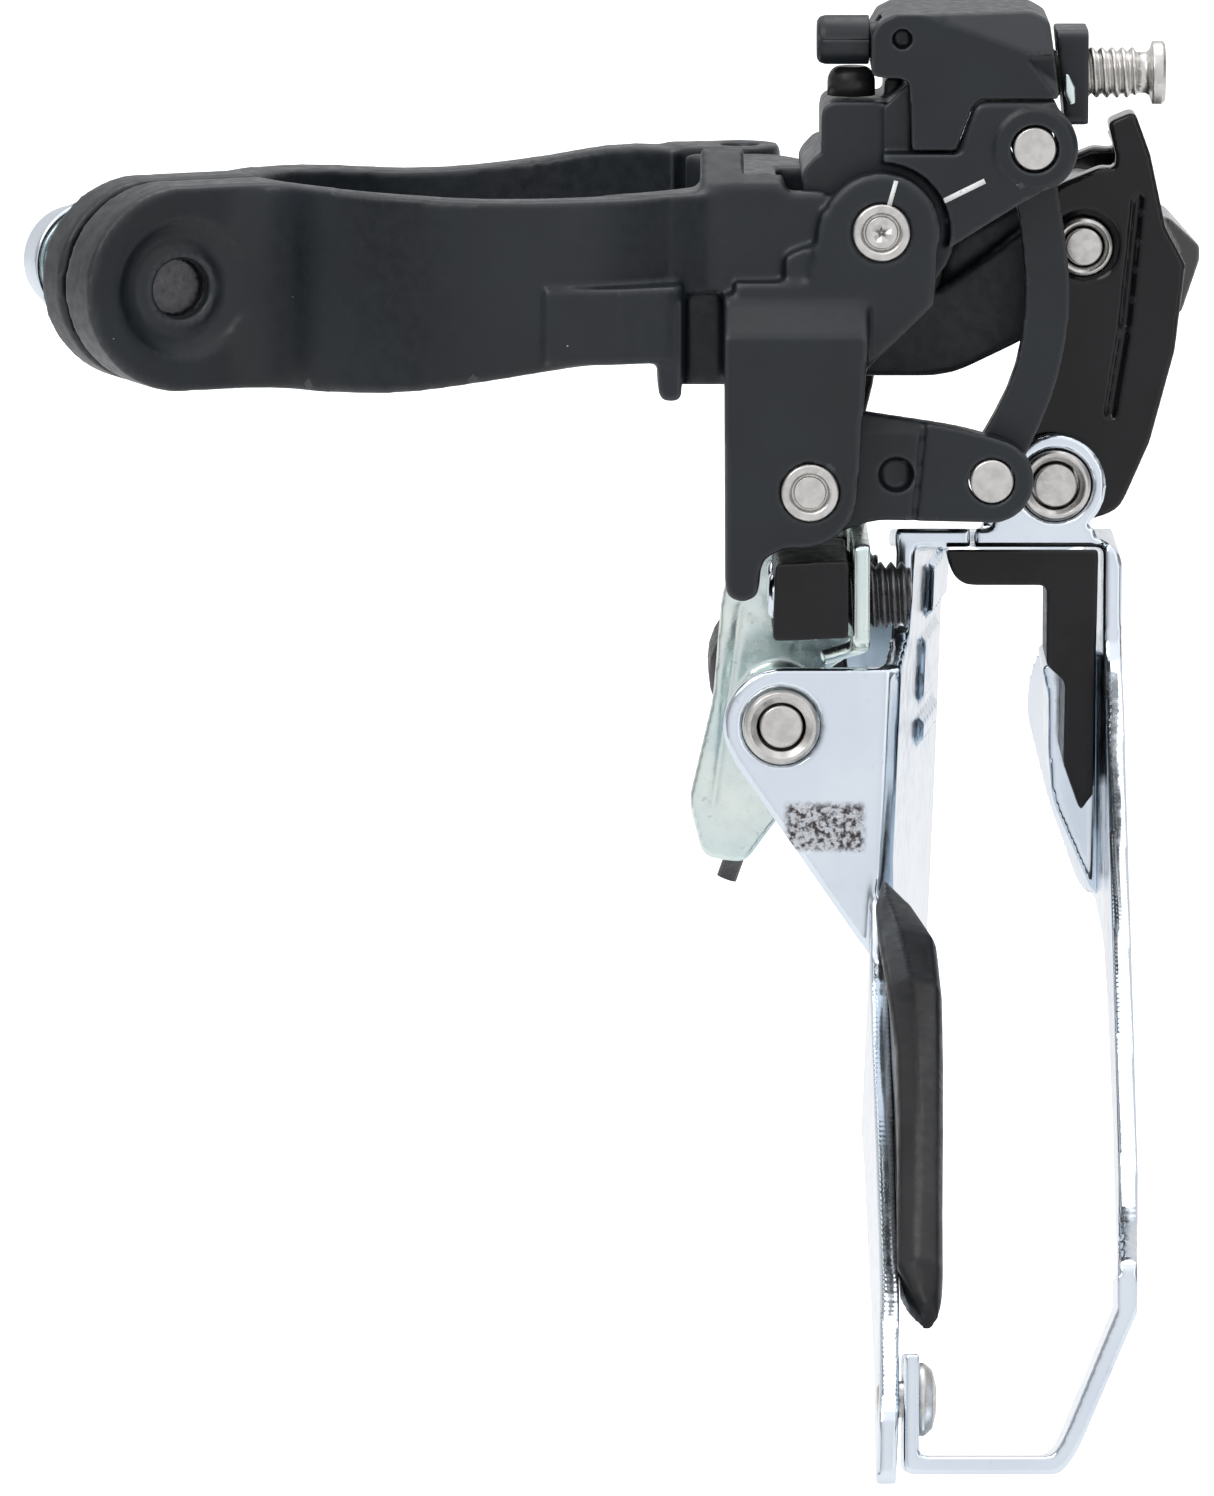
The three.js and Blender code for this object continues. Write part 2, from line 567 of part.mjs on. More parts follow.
const screwBlock = plate([
  [19.75, -18.7, 0.4], [24.8, -18.5, 0.3], [24.8, -23.9, 0.3], [19.55, -24.1, 0.4],
], [-17.0, -5.2]);
addPart("screw_block", cut(screwBlock, ...screwHoles([19, 26])), resin);
["low_limit_screw", "high_limit_screw"].forEach((name, i) => {
  const axis = { y: SCREW_Y[i], z: SCREW_Z };
  const screw = barX(axis, SCREW_R, [SCREW_FROM, SCREW_TO[i]]);
  addPart(name, cut(screw, barX(axis, 1.1, [SCREW_FROM - 1, SCREW_FROM + 1.6], 6)), chrome);
});

class SpringPath extends THREE.Curve {
  getPoint(t, target = new THREE.Vector3()) {
    const angle = -0.5 * Math.PI + t * SPRING_TURNS * 2 * Math.PI;
    const y = THREE.MathUtils.lerp(SPRING_Y[0], SPRING_Y[1], t);
    return target.set(E.x + SPRING_R * Math.cos(angle), y, SPRING_Z + SPRING_R * Math.sin(angle));
  }
}

function wire(path, steps) {
  const section = new THREE.Shape().absarc(0, 0, SPRING_WIRE_R, 0, 2 * Math.PI);
  return toSolid(new THREE.ExtrudeGeometry(section, { steps, curveSegments: 3, extrudePath: path }));
}

function returnSpring() {
  const coil = wire(new SpringPath(), SPRING_TURNS * 16);
  const leg = wire(new THREE.LineCurve3(
    new THREE.Vector3(E.x + 0.4, SPRING_Y[0], SPRING_Z - SPRING_R),
    new THREE.Vector3(16.6, SPRING_Y[0], -43.6),
  ), 1);
  return join(coil, leg);
}
addPart("return_spring", returnSpring(), springSteel);

// ---- outer link ----
function outerLink() {
  const cheekOutline = [
    [38.4, 6.0, 1.5], [42.4, 7.6], [44.9, 7.4], [45.4, 2.0], [44.8, -5.6], [43.5, -12.5],
    [42.0, -16.4, 1], [38.4, -17.0, 2], [35.8, -15.5, 2], [36.0, -12.0, 2], [38.2, -8.5, 2],
    [38.7, -1.2, 1], [37.4, 1.4, 1.5],
  ];
  const skin = plate(
    [
      [42.8, 10.7, 0.4], [44.7, 11.5, 0.4], [45.8, 8.5], [46.9, 3.4], [48.3, 0.8], [47.6, -5.2],
      [45.9, -11.6], [43.8, -16.4, 1], [41.9, -17.0], [43.4, -12.5], [44.7, -5.6], [45.3, 2.0],
      [44.7, 7.2], [43.5, 8.3],
    ],
    [OUTER_NEAR[0], OUTER_FAR[1]],
  );
  const ridge = slab([[46.5, -1.5], [50.0, 4.2, 0.6], [47.5, 8.6], [45.6, 8.6]], [-3.6, 3.4])
    .intersect(plate([[45.2, 4.2], [47.6, 3.2], [50.1, 0.6], [47.9, -5.0], [45.2, -3.6]], [-3, 9]));
  const foot = barY(G, 3.0, [OUTER_NEAR[0], OUTER_FAR[1]], 32);
  const cheeks = join(plate(cheekOutline, OUTER_NEAR), plate(cheekOutline, OUTER_FAR));
  const behindHorn = box([40, 48], [-3.4, 10], [8.7, 13]);
  const solid = cut(join(cheeks, skin, ridge, foot), behindHorn);
  return cut(solid, barY(F, 2.1, [-8, 10]), barY(G, PIN_R + 0.45, [-10, 12]));
}
addPart("outer_link", outerLink(), glossBlack);
addPart("outer_link_bush_rear", sleeveY(F, 2.0, PIN_R - 0.05, [-7.5, -4.6]), stainless);
addPart("outer_link_bush_front", sleeveY(F, 2.0, PIN_R - 0.05, [6.3, 8.8]), stainless);

// ---- cage ----
const edgeZ = (y) => -BB_DROP + Math.sqrt(OUTER_EDGE_R ** 2 - y ** 2);

function bridgeSheet([left, right]) {
  const [near, far] = BRIDGE_Y;
  const drop = BRIDGE_SLOPE * (far - near);
  const side = [
    [near, BRIDGE_TOP], [near, BRIDGE_TOP - STEEL], [far, BRIDGE_TOP - STEEL + drop],
    [far, BRIDGE_TOP + drop],
  ];
  return slice(side, [left, right]);
}

function innerPlate() {
  const side = [
    [-8.6, -17.4], [10.2, -20.0], [22, -25, 3], [34, -38, 4], [35, -52, 3], [12, -56, 6],
    [-20, -59, 6], [-50, -66], [-64, -71, 2], [TAIL_Y, -71.4, 1],
    [TAIL_Y, -66.5, 1], [-58, -60.5, 4], [-40, -54, 6], [-19, -47, 3], [-15.9, -42, 2],
    [-15.9, -26.2, 0.8], [-9.6, -24.6, 1], [-8.6, -22, 1],
  ];
  const wall = leaning(followingSheet(INNER_PATH, 0, STEEL, side));
  const nearLug = join(
    barY(E, 4.0, E_LUG_NEAR, 36),
    plate([[20.2, -26.2], [27.6, -26.2], [28.2, -47.0], [26.4, -46.4, 1.5], [16.9, -32.6]], E_LUG_NEAR),
  );
  const farLug = join(
    barY(E, 4.0, E_LUG_FAR, 36),
    plate([[20.2, -26.2], [31.4, -25.4], [31.4, -39, 1], [26, -38, 1], [18.2, -33.6]], E_LUG_FAR),
  );
  const flange = bridgeSheet([28.2, 33.4]);
  const solid = join(wall, nearLug, farLug, flange);
  return cut(solid, barY(E, 2.7, [-20, 20]), barX(TAIL_RIVET, 1.35, [20, 32]));
}
addPart("cage_inner_plate", innerPlate(), chrome);

function outerPlate() {
  const lower = [-58, -42, -26, -10, 2].map((y) => [y, edgeZ(y)]);
  const side = [
    ...lower, [13, -46.5, 3], [24, -42.5, 3], [33, -36.5, 2], [31, -33, 2], [20, -27.5, 4],
    [10.2, -20.0], [-8.6, -17.4], [-9.4, -19], [-9.4, -26, 2], [-20, -33, 4], [-42, -44, 6],
    [-62, -55.5, 3],
    [TAIL_Y + 0.5, -56.6, 1], [TAIL_Y + 0.5, -59.8], [-66, -61.2],
  ];
  const wall = followingSheet(OUTER_PATH, -STEEL / 2, STEEL / 2, side);
  const bridge = bridgeSheet([33.7, 43.8]);
  const lugs = [G_LUG_NEAR, G_LUG_FAR].map((range, i) => {
    const foot = i ? -21.4 : -18.4;
    return join(
      barY(G, 3.55, range, 36),
      plate([[G.x - 3.5, G.z], [G.x + 3.5, G.z], [G.x + 1.8, foot], [G.x - 4.8, foot]], range),
    );
  });
  const trough = plate(
    [
      [41.2, -57.6], [42.5, -57.6], [42.5, -59.8], [38.7, -69.0, 0.8], [37.6, -70.6, 0.6],
      [27.4, -70.6, 0.6], [27.4, -62.6], [28.4, -62.6], [28.4, -69.4, 0.4], [37.0, -69.4, 0.4],
      [37.7, -68.3, 0.5], [41.2, -59.6],
    ],
    [0, 9],
  );
  const bulge = plate([
    [43.4, -27.0], [38.7, -28.2, 0.4], [39.2, -30.4], [39.2, -34.2], [39.5, -37.8, 1],
    [42.2, -44.0], [43.4, -45.2],
  ], [-1.1, 9]);
  const bulgeRoom = plate([
    [45, -28.4], [40.4, -29.4], [40.5, -37.4], [43.0, -43.6], [45, -44.2],
  ], [0.2, 7.7]);
  const pressed = cut(join(wall, bulge), bulgeRoom);
  const solid = join(pressed, bridge, ...lugs, sheared(trough, TAIL_SLOPE, 0, [0, TAIL_Y + 0.5]));
  return cut(solid, barY(G, 2.55, [-12, 12]), barX(TAIL_RIVET, 1.35, [20, 32]));
}
addPart("cage_outer_plate", outerPlate(), chrome);

// Each bush stands a little proud of its lug on both sides.
const innerBush = (near, far) => sleeveY(E, 2.6, PIN_R + 0.2, [near, far]);
const outerBush = (near, far) => sleeveY(G, 2.45, PIN_R + 0.2, [near, far]);
addPart("cage_bush_inner_rear", innerBush(E_LUG_NEAR[0] - 0.5, E_LUG_NEAR[1] + 0.1), stainless);
addPart("cage_bush_inner_front", innerBush(E_LUG_FAR[0] - 0.1, E_LUG_FAR[1] + 0.5), stainless);
addPart("cage_bush_outer_rear", outerBush(G_LUG_NEAR[0] - 0.3, G_LUG_NEAR[1] + 0.05), stainless);
addPart("cage_bush_outer_front", outerBush(G_LUG_FAR[0] - 0.05, G_LUG_FAR[1] + 0.5), stainless);
addPart("cage_pin_inner", barY(E, PIN_R, [-16.0, 13.8]), stainless);
addPart("cage_pin_outer", barY(G, PIN_R, [-8.7, 10.4]), stainless);

addPart("tail_rivet", join(
  barX(TAIL_RIVET, 1.2, [25.7, 29.0]),
  barX(TAIL_RIVET, 2.4, [28.4, 29.6]),
), stainless);

// ---- pads ----
function innerPad() {
  const side = [
    [-17, -40.3, 1.5], [-30, -44.5, 4], [-46, -52, 4], [-58, -60, 2], [-60, -63.2, 1],
    [-52, -62.8, 3], [-36, -58.5, 5], [-22, -54, 3], [-17, -50, 1.5],
  ];
  return leaning(followingSheet(INNER_PATH, STEEL + 0.15, STEEL + 3.0, side));
}
addPart("inner_skid_pad", innerPad(), resin);

function outerPad() {
  const ell = plate(
    [
      [31.7, -19.3, 0.8], [32.5, -21.3, 1.2], [38.7, -21.3], [38.7, -26.9], [40.0, -28.1],
      [39.9, -33.8], [41.1, -37.2, 0.4], [42.0, -36.0], [42.3, -18.2], [31.7, -18.2],
    ],
    [-9.6, -1.5],
  );
  const room = slice([
    [-12, -10], [-12, BRIDGE_TOP - STEEL - 0.15 + 3.4 * -BRIDGE_SLOPE],
    [4, BRIDGE_TOP - STEEL - 0.3 + 12.6 * BRIDGE_SLOPE], [4, -10],
  ], [30, 45]);
  return cut(ell, room);
}
addPart("outer_skid_pad", outerPad(), resin);

export default object;
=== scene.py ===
import json
import math

import bmesh
import bpy
import numpy as np
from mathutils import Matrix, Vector


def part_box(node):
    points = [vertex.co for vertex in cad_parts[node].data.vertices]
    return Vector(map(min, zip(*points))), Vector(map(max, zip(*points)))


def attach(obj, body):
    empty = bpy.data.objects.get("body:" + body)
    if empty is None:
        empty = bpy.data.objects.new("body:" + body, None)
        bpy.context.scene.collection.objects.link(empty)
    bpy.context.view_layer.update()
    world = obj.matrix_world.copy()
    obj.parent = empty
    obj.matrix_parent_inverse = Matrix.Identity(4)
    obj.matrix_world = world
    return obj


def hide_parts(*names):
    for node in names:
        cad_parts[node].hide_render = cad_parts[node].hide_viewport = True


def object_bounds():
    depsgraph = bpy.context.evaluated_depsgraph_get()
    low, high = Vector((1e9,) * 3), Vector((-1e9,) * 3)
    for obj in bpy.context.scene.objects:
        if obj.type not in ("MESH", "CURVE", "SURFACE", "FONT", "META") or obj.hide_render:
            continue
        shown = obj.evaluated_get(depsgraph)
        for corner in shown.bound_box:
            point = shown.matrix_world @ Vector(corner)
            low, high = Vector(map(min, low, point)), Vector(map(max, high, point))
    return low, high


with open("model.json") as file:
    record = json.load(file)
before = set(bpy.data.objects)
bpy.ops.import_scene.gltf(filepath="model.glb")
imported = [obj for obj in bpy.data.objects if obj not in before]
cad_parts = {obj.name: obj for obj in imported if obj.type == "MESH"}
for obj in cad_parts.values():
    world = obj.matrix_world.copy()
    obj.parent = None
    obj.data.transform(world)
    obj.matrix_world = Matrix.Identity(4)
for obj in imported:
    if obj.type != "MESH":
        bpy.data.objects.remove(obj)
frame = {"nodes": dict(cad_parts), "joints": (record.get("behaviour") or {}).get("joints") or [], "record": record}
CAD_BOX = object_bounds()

# Lengths are millimetres unless a comment says otherwise. MM turns them into Blender's metres.
MM = 0.001
BEHAVIOUR = frame["record"]["behaviour"]
BODY_OF = {node: body for body, nodes in BEHAVIOUR["bodies"].items() for node in nodes}
SLOT_OF = {part["node"]: part["material_slot"] for part in frame["record"]["subparts"]}
JOINTS = {joint["name"]: joint for joint in frame["joints"]}


# ---- places, all from the frame ----
def pivot(joint):
    return Vector(JOINTS[joint]["pos_m"]) / MM


def low(node):
    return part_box(node)[0] / MM


def high(node):
    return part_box(node)[1] / MM


def middle(node):
    return (low(node) + high(node)) / 2


def inboard_end(node):
    """The inboard end of a piece along X, on its middle."""
    point = middle(node)
    return Vector((low(node).x, point.y, point.z))


def rear_end(node):
    """The rear end of a piece along Y, on its middle."""
    point = middle(node)
    return Vector((point.x, low(node).y, point.z))


def span_x(node):
    return high(node).x - low(node).x


def span_y(node):
    return high(node).y - low(node).y


def beside(place, x, y, z):
    """The point that is x and z from a place, at depth y."""
    return Vector((place.x + x, y, place.z + z))


ARM_PIVOT = pivot("cable_arm_swing")
TOGGLE_TOP = pivot("toggle_link_swing")
LINK_PIVOT = pivot("inner_link_swing")
CAGE_PIVOT = pivot("cage_pivot")
OUTER_PIVOT = pivot("outer_link_swing")
HINGE = pivot("clamp_band_opening")
BOLT_CENTER = pivot("clamp_bolt_turn")
BOLT_AXIS = Vector(JOINTS["clamp_bolt_turn"]["axis"]).normalized()
X_AXIS = Vector((1, 0, 0))
Y_AXIS = Vector((0, 1, 0))
Z_AXIS = Vector((0, 0, 1))
ORIGIN = Vector((0, 0, 0))


# ---- camera: behind the bicycle, a little above, with a long lens ----
VIEW_DOWN = math.radians(9)
VIEW_DISTANCE = 0.8  # metres
AIM = Vector((0.00818, -0.00528, -0.03336))  # metres
LENS = 275.3
SENSOR = 36

camera = bpy.data.objects.new("camera", bpy.data.cameras.new("camera"))
bpy.context.scene.collection.objects.link(camera)
camera.location = AIM - VIEW_DISTANCE * Vector((0, math.cos(VIEW_DOWN), -math.sin(VIEW_DOWN)))
camera.rotation_euler = (math.pi / 2 - VIEW_DOWN, 0, 0)
camera.data.lens = LENS
camera.data.sensor_width = SENSOR
camera.data.clip_start = 0.01
camera.data.clip_end = 20
bpy.context.scene.camera = camera


# ---- materials ----
MIX_FIRST, MIX_SECOND, MIX_RESULT = 6, 7, 2  # the colour sockets of a Mix node


def map_range(tree, value, start, end, first, last, shape="LINEAR"):
    """Maps value from start..end onto first..last, held at both ends."""
    made = tree.nodes.new("ShaderNodeMapRange")
    made.interpolation_type = shape
    ends = {"From Min": start, "From Max": end, "To Min": first, "To Max": last}
    for name, number in ends.items():
        made.inputs[name].default_value = number
    tree.links.new(value, made.inputs["Value"])
    return made.outputs["Result"]


def mix_colours(tree, factor, first, second):
    """first where factor is 0 and second where it is 1, each a socket or (red, green, blue)."""
    made = tree.nodes.new("ShaderNodeMix")
    made.data_type = "RGBA"
    tree.links.new(factor, made.inputs["Factor"])
    for socket, colour in ((made.inputs[MIX_FIRST], first), (made.inputs[MIX_SECOND], second)):
        if isinstance(colour, tuple):
            socket.default_value = (*colour, 1)
        else:
            tree.links.new(colour, socket)
    return made.outputs[MIX_RESULT]


class Finish:
    """A node material on one Principled shader, with textures in real millimetres."""

    def __init__(self, name, roughness, metallic=0.0, **sockets):
        self.material = bpy.data.materials.new(name)
        self.material.use_nodes = True
        self.tree = self.material.node_tree
        self.shader = self.tree.nodes["Principled BSDF"]
        self.shader.inputs["Roughness"].default_value = roughness
        self.shader.inputs["Metallic"].default_value = metallic
        for socket, value in sockets.items():
            self.shader.inputs[socket.replace("_", " ")].default_value = value
        self.place = self.tree.nodes.new("ShaderNodeTexCoord").outputs["Object"]

    def node(self, kind, **values):
        made = self.tree.nodes.new(kind)
        for name, value in values.items():
            setattr(made, name, value)
        return made

    def link(self, source, target):
        self.tree.links.new(source, target)

    def noise(self, size, detail=3.0, stretch=(1, 1, 1)):
        """Noise with features about size millimetres across."""
        mapping = self.node("ShaderNodeMapping")
        mapping.inputs["Scale"].default_value = [1 / (s * size * MM) for s in stretch]
        texture = self.node("ShaderNodeTexNoise")
        texture.inputs["Scale"].default_value = 1
        texture.inputs["Detail"].default_value = detail
        self.link(self.place, mapping.inputs["Vector"])
        self.link(mapping.outputs["Vector"], texture.inputs["Vector"])
        return texture.outputs["Fac"]

    def specks(self, spacing, radius):
        """1 on sparse round dust specks."""
        mapping = self.node("ShaderNodeMapping")
        mapping.inputs["Scale"].default_value = [1 / (spacing * MM)] * 3
        texture = self.node("ShaderNodeTexVoronoi")
        texture.inputs["Scale"].default_value = 1
        self.link(self.place, mapping.inputs["Vector"])
        self.link(mapping.outputs["Vector"], texture.inputs["Vector"])
        spread = self.node("ShaderNodeSeparateColor")
        self.link(texture.outputs["Color"], spread.inputs["Color"])
        size = self.window(spread.outputs["Red"], 0.5, 1.0, 0.0, radius / spacing)
        near = self.node("ShaderNodeMath", operation="LESS_THAN")
        self.link(texture.outputs["Distance"], near.inputs[0])
        self.link(size, near.inputs[1])
        return near.outputs[0]

    def window(self, value, start, end, first=0.0, last=1.0):
        return map_range(self.tree, value, start, end, first, last, "SMOOTHSTEP")

    def product(self, first, second):
        made = self.node("ShaderNodeMath", operation="MULTIPLY")
        for socket, value in zip(made.inputs, (first, second)):
            if isinstance(value, float):
                socket.default_value = value
            else:
                self.link(value, socket)
        return made.outputs[0]

    def mix(self, factor, first, second):
        return mix_colours(self.tree, factor, first, second)

    def edges(self):
        """1 on outer edges, 0 on flats, for edges that are worn and also lightened as a painted edge highlight."""
        return self.window(self.node("ShaderNodeNewGeometry").outputs["Pointiness"], 0.505, 0.56)

    def rear_patch(self, center, across_it, upright):
        """1 inside a soft-edged rectangle in X and Z about center, in millimetres."""
        axes = self.node("ShaderNodeSeparateXYZ")
        self.link(self.place, axes.inputs["Vector"])
        soft = 0.35 * MM
        shade = None
        for axis, origin, (start, end) in (("X", center.x, across_it), ("Z", center.z, upright)):
            first = (origin + start) * MM
            last = (origin + end) * MM
            rise = self.window(axes.outputs[axis], first - soft, first + soft)
            fall = self.window(axes.outputs[axis], last - soft, last + soft, 1.0, 0.0)
            both = self.product(rise, fall)
            shade = both if shade is None else self.product(shade, both)
        return shade

    def colour(self, value):
        self.link(value, self.shader.inputs["Base Color"])

    def roughness(self, value):
        self.link(value, self.shader.inputs["Roughness"])

    def bump(self, height, depth):
        """Relief depth millimetres deep, on top of any relief that is there already."""
        made = self.node("ShaderNodeBump")
        made.inputs["Distance"].default_value = depth * MM
        self.link(height, made.inputs["Height"])
        below = self.shader.inputs["Normal"].links
        if below:
            self.link(below[0].from_socket, made.inputs["Normal"])
        self.link(made.outputs["Normal"], self.shader.inputs["Normal"])


def satin_black():
    made = Finish("satin_black", 0.38, Specular_IOR_Level=0.42)
    cloud = made.window(made.noise(9.0), 0.35, 0.65)
    paint = made.mix(cloud, (0.005, 0.0075, 0.010), (0.008, 0.0115, 0.015))
    # outer edges lightened toward grey: partly paint wear, partly a painted edge highlight
    wear_and_highlight = made.mix(made.product(made.edges(), 0.35), paint, (0.10, 0.105, 0.11))
    made.colour(made.mix(made.product(made.specks(3.1, 0.09), 0.7), wear_and_highlight, (0.62, 0.63, 0.64)))
    made.roughness(made.window(made.noise(0.9), 0.3, 0.7, 0.33, 0.45))
    made.bump(made.noise(0.16, 2.0), 0.008)
    return made.material


def gloss_black():
    made = Finish(
        "gloss_black", 0.12, Specular_IOR_Level=0.2, Coat_Weight=0.25, Coat_Roughness=0.04
    )
    cloud = made.window(made.noise(7.0), 0.35, 0.65)
    paint = made.mix(cloud, (0.003, 0.003, 0.0035), (0.006, 0.006, 0.007))
    # outer edges lightened toward grey: partly wear, partly a painted edge highlight
    made.colour(made.mix(made.product(made.edges(), 0.2), paint, (0.08, 0.08, 0.085)))
    scratch = made.noise(0.25, 4.0, stretch=(1, 1, 12))
    made.roughness(made.window(scratch, 0.45, 0.75, 0.1, 0.28))
    made.bump(made.noise(2.4, 1.0), 0.012)
    return made.material


# the rough patch on the cage's inner lug, from the lug's pivot
PATCH_X = (0.4, 5.7)
PATCH_Z = (-8.6, -5.4)


def chrome_steel():
    made = Finish("chrome_steel", 0.14, metallic=1.0)
    tint = made.window(made.noise(9.0), 0.35, 0.65)
    plate = made.mix(tint, (0.70, 0.77, 0.84), (0.76, 0.82, 0.88))
    stain = made.window(made.noise(1.4, 6.0), 0.66, 0.78)
    bright = made.mix(made.product(stain, 0.3), plate, (0.40, 0.44, 0.48))
    patch = made.rear_patch(CAGE_PIVOT, PATCH_X, PATCH_Z)
    grain = made.window(made.noise(0.35, 4.0), 0.38, 0.6)
    blotch = made.mix(grain, (0.07, 0.06, 0.06), (0.62, 0.64, 0.67))
    made.colour(made.mix(patch, bright, blotch))
    made.roughness(made.window(made.noise(1.3, 5.0), 0.35, 0.75, 0.1, 0.2))
    made.bump(made.noise(5.0, 1.0), 0.012)
    made.bump(made.product(made.noise(0.3, 4.0), patch), 0.12)
    return made.material


def zinc_steel():
    made = Finish("zinc_steel", 0.26, metallic=1.0)
    tint = made.window(made.noise(6.0, 2.0), 0.3, 0.7)
    plate = made.mix(tint, (0.68, 0.79, 0.77), (0.78, 0.85, 0.80))
    spots = made.window(made.noise(0.7, 5.0), 0.66, 0.78)
    made.colour(made.mix(made.product(spots, 0.5), plate, (0.36, 0.42, 0.40)))
    made.roughness(made.window(made.noise(1.1, 4.0), 0.35, 0.7, 0.18, 0.32))
    made.bump(made.noise(2.4, 1.0), 0.008)
    return made.material


def stainless():
    made = Finish("stainless", 0.32, metallic=1.0)
    cloud = made.window(made.noise(0.8, 5.0), 0.35, 0.7)
    made.colour(made.mix(cloud, (0.66, 0.645, 0.62), (0.54, 0.53, 0.51)))
    made.roughness(made.window(made.noise(0.4, 4.0), 0.3, 0.7, 0.26, 0.42))
    made.bump(made.noise(0.12, 3.0), 0.005)
    return made.material


def spring_steel():
    made = Finish("spring_steel", 0.34, metallic=0.9)
    made.colour(made.mix(made.noise(0.6, 4.0), (0.06, 0.06, 0.065), (0.16, 0.16, 0.165)))
    made.roughness(made.window(made.noise(0.3), 0.3, 0.7, 0.24, 0.44))
    made.bump(made.noise(0.15), 0.006)
    return made.material


def black_resin():
    made = Finish("black_resin", 0.36, Specular_IOR_Level=0.3)
    cloud = made.window(made.noise(5.0), 0.35, 0.65)
    paint = made.mix(cloud, (0.004, 0.004, 0.0045), (0.008, 0.008, 0.009))
    # outer edges lightened toward grey: partly wear, partly a painted edge highlight
    made.colour(made.mix(made.product(made.edges(), 0.25), paint, (0.05, 0.05, 0.052)))
    made.roughness(made.window(made.noise(0.8), 0.3, 0.7, 0.28, 0.42))
    made.bump(made.noise(0.2, 2.0), 0.006)
    return made.material


def white_mark():
    made = Finish("white_mark", 0.5)
    chips = made.window(made.noise(0.25, 4.0), 0.62, 0.7)
    made.colour(made.mix(chips, (0.80, 0.82, 0.80), (0.34, 0.35, 0.35)))
    made.bump(made.noise(0.1), 0.01)
    return made.material


FINISHES = {
    made.__name__: made()
    for made in (
        satin_black,
        gloss_black,
        chrome_steel,
        zinc_steel,
        stainless,
        spring_steel,
        black_resin,
        white_mark,
    )
}


# ---- meshes ----
def piece_from(mesh, name, body, slot, *nodes):
    """An object for a finished mesh, riding on body and standing for the CAD nodes."""
    made = bpy.data.objects.new(name, mesh)
    bpy.context.scene.collection.objects.link(made)
    mesh.materials.clear()
    mesh.materials.append(FINISHES[slot])
    mesh.polygons.foreach_set("use_smooth", np.ones(len(mesh.polygons), bool))
    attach(made, body)
    if nodes:
        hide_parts(*nodes)
    return made


def stand_in(mesh, name, node):
    """An object that takes the place of one CAD node."""
    return piece_from(mesh, name, BODY_OF[node], SLOT_OF[node], node)


def mesh_of(points, faces):
    """A mesh from points in millimetres, with its faces pointing out."""
    mesh = bpy.data.meshes.new("mesh")
    mesh.from_pydata([Vector(p) * MM for p in points], [], faces)
    made = bmesh.new()
    made.from_mesh(mesh)
    bmesh.ops.recalc_face_normals(made, faces=made.faces)
    made.to_mesh(mesh)
    made.free()
    return mesh


def cad_mesh(node):
    """A copy of a CAD node's mesh with its shared corners merged."""
    mesh = frame["nodes"][node].data.copy()
    made = bmesh.new()
    made.from_mesh(mesh)
    bmesh.ops.remove_doubles(made, verts=made.verts, dist=0.001 * MM)
    made.to_mesh(mesh)
    made.free()
    return mesh


def settled(mesh, *modifiers):
    """The mesh after modifiers, each (kind, {settings})."""
    carrier = bpy.data.objects.new("carrier", mesh)
    bpy.context.scene.collection.objects.link(carrier)
    for kind, settings in modifiers:
        modifier = carrier.modifiers.new(kind, kind)
        for name, value in settings.items():
            setattr(modifier, name, value)
    graph = bpy.context.evaluated_depsgraph_get()
    result = bpy.data.meshes.new_from_object(carrier.evaluated_get(graph))
    bpy.data.objects.remove(carrier)
    return result


def combined(mesh, operation, others):
    """The boolean of mesh with each of others."""
    for other in others:
        tool = bpy.data.objects.new("tool", other)
        bpy.context.scene.collection.objects.link(tool)
        settings = {"operation": operation, "solver": "EXACT", "object": tool}
        mesh = settled(mesh, ("BOOLEAN", settings))
        bpy.data.objects.remove(tool)
    return mesh


def across(axis):
    """Two unit vectors square to axis."""
    side = Z_AXIS if abs(axis.z) < 0.9 else X_AXIS
    first = axis.cross(side).normalized()
    return first, axis.cross(first)


def skin(rings, closed=False):
    """A solid skin through rings of points, where a ring of one point is a tip.

    Closed, it runs on from the last ring to the first. Otherwise its end rings are capped.
    """
    spans, points = [], []
    for ring in rings:
        spans.append(range(len(points), len(points) + len(ring)))
        points += ring
    pairs = list(zip(spans, spans[1:]))
    if closed:
        faces = []
        pairs.append((spans[-1], spans[0]))
    else:
        faces = [list(span) for span in (spans[0], spans[-1]) if len(span) > 1]
    count = max(map(len, rings))
    for one, two in pairs:
        for i in range(count):
            j = (i + 1) % count
            corners = [one[i % len(one)], one[j % len(one)], two[j % len(two)], two[i % len(two)]]
            faces.append(list(dict.fromkeys(corners)))
    return mesh_of(points, faces)


def circle(center, first, second, radius, sides):
    """Points round center in the plane of the unit vectors first and second."""
    angles = [2 * math.pi * i / sides for i in range(sides)]
    return [center + radius * (math.cos(a) * first + math.sin(a) * second) for a in angles]


def turned(start, axis, profile, sides=72):
    """A round mesh: profile lists (radius, distance along axis), closed on the axis or itself."""
    first, second = across(axis)
    rings = []
    for radius, along in profile:
        center = Vector(start) + axis * along
        on_axis = radius < 1e-6
        rings.append([center] if on_axis else circle(center, first, second, radius, sides))
    return skin(rings, closed=len(rings[0]) > 1)


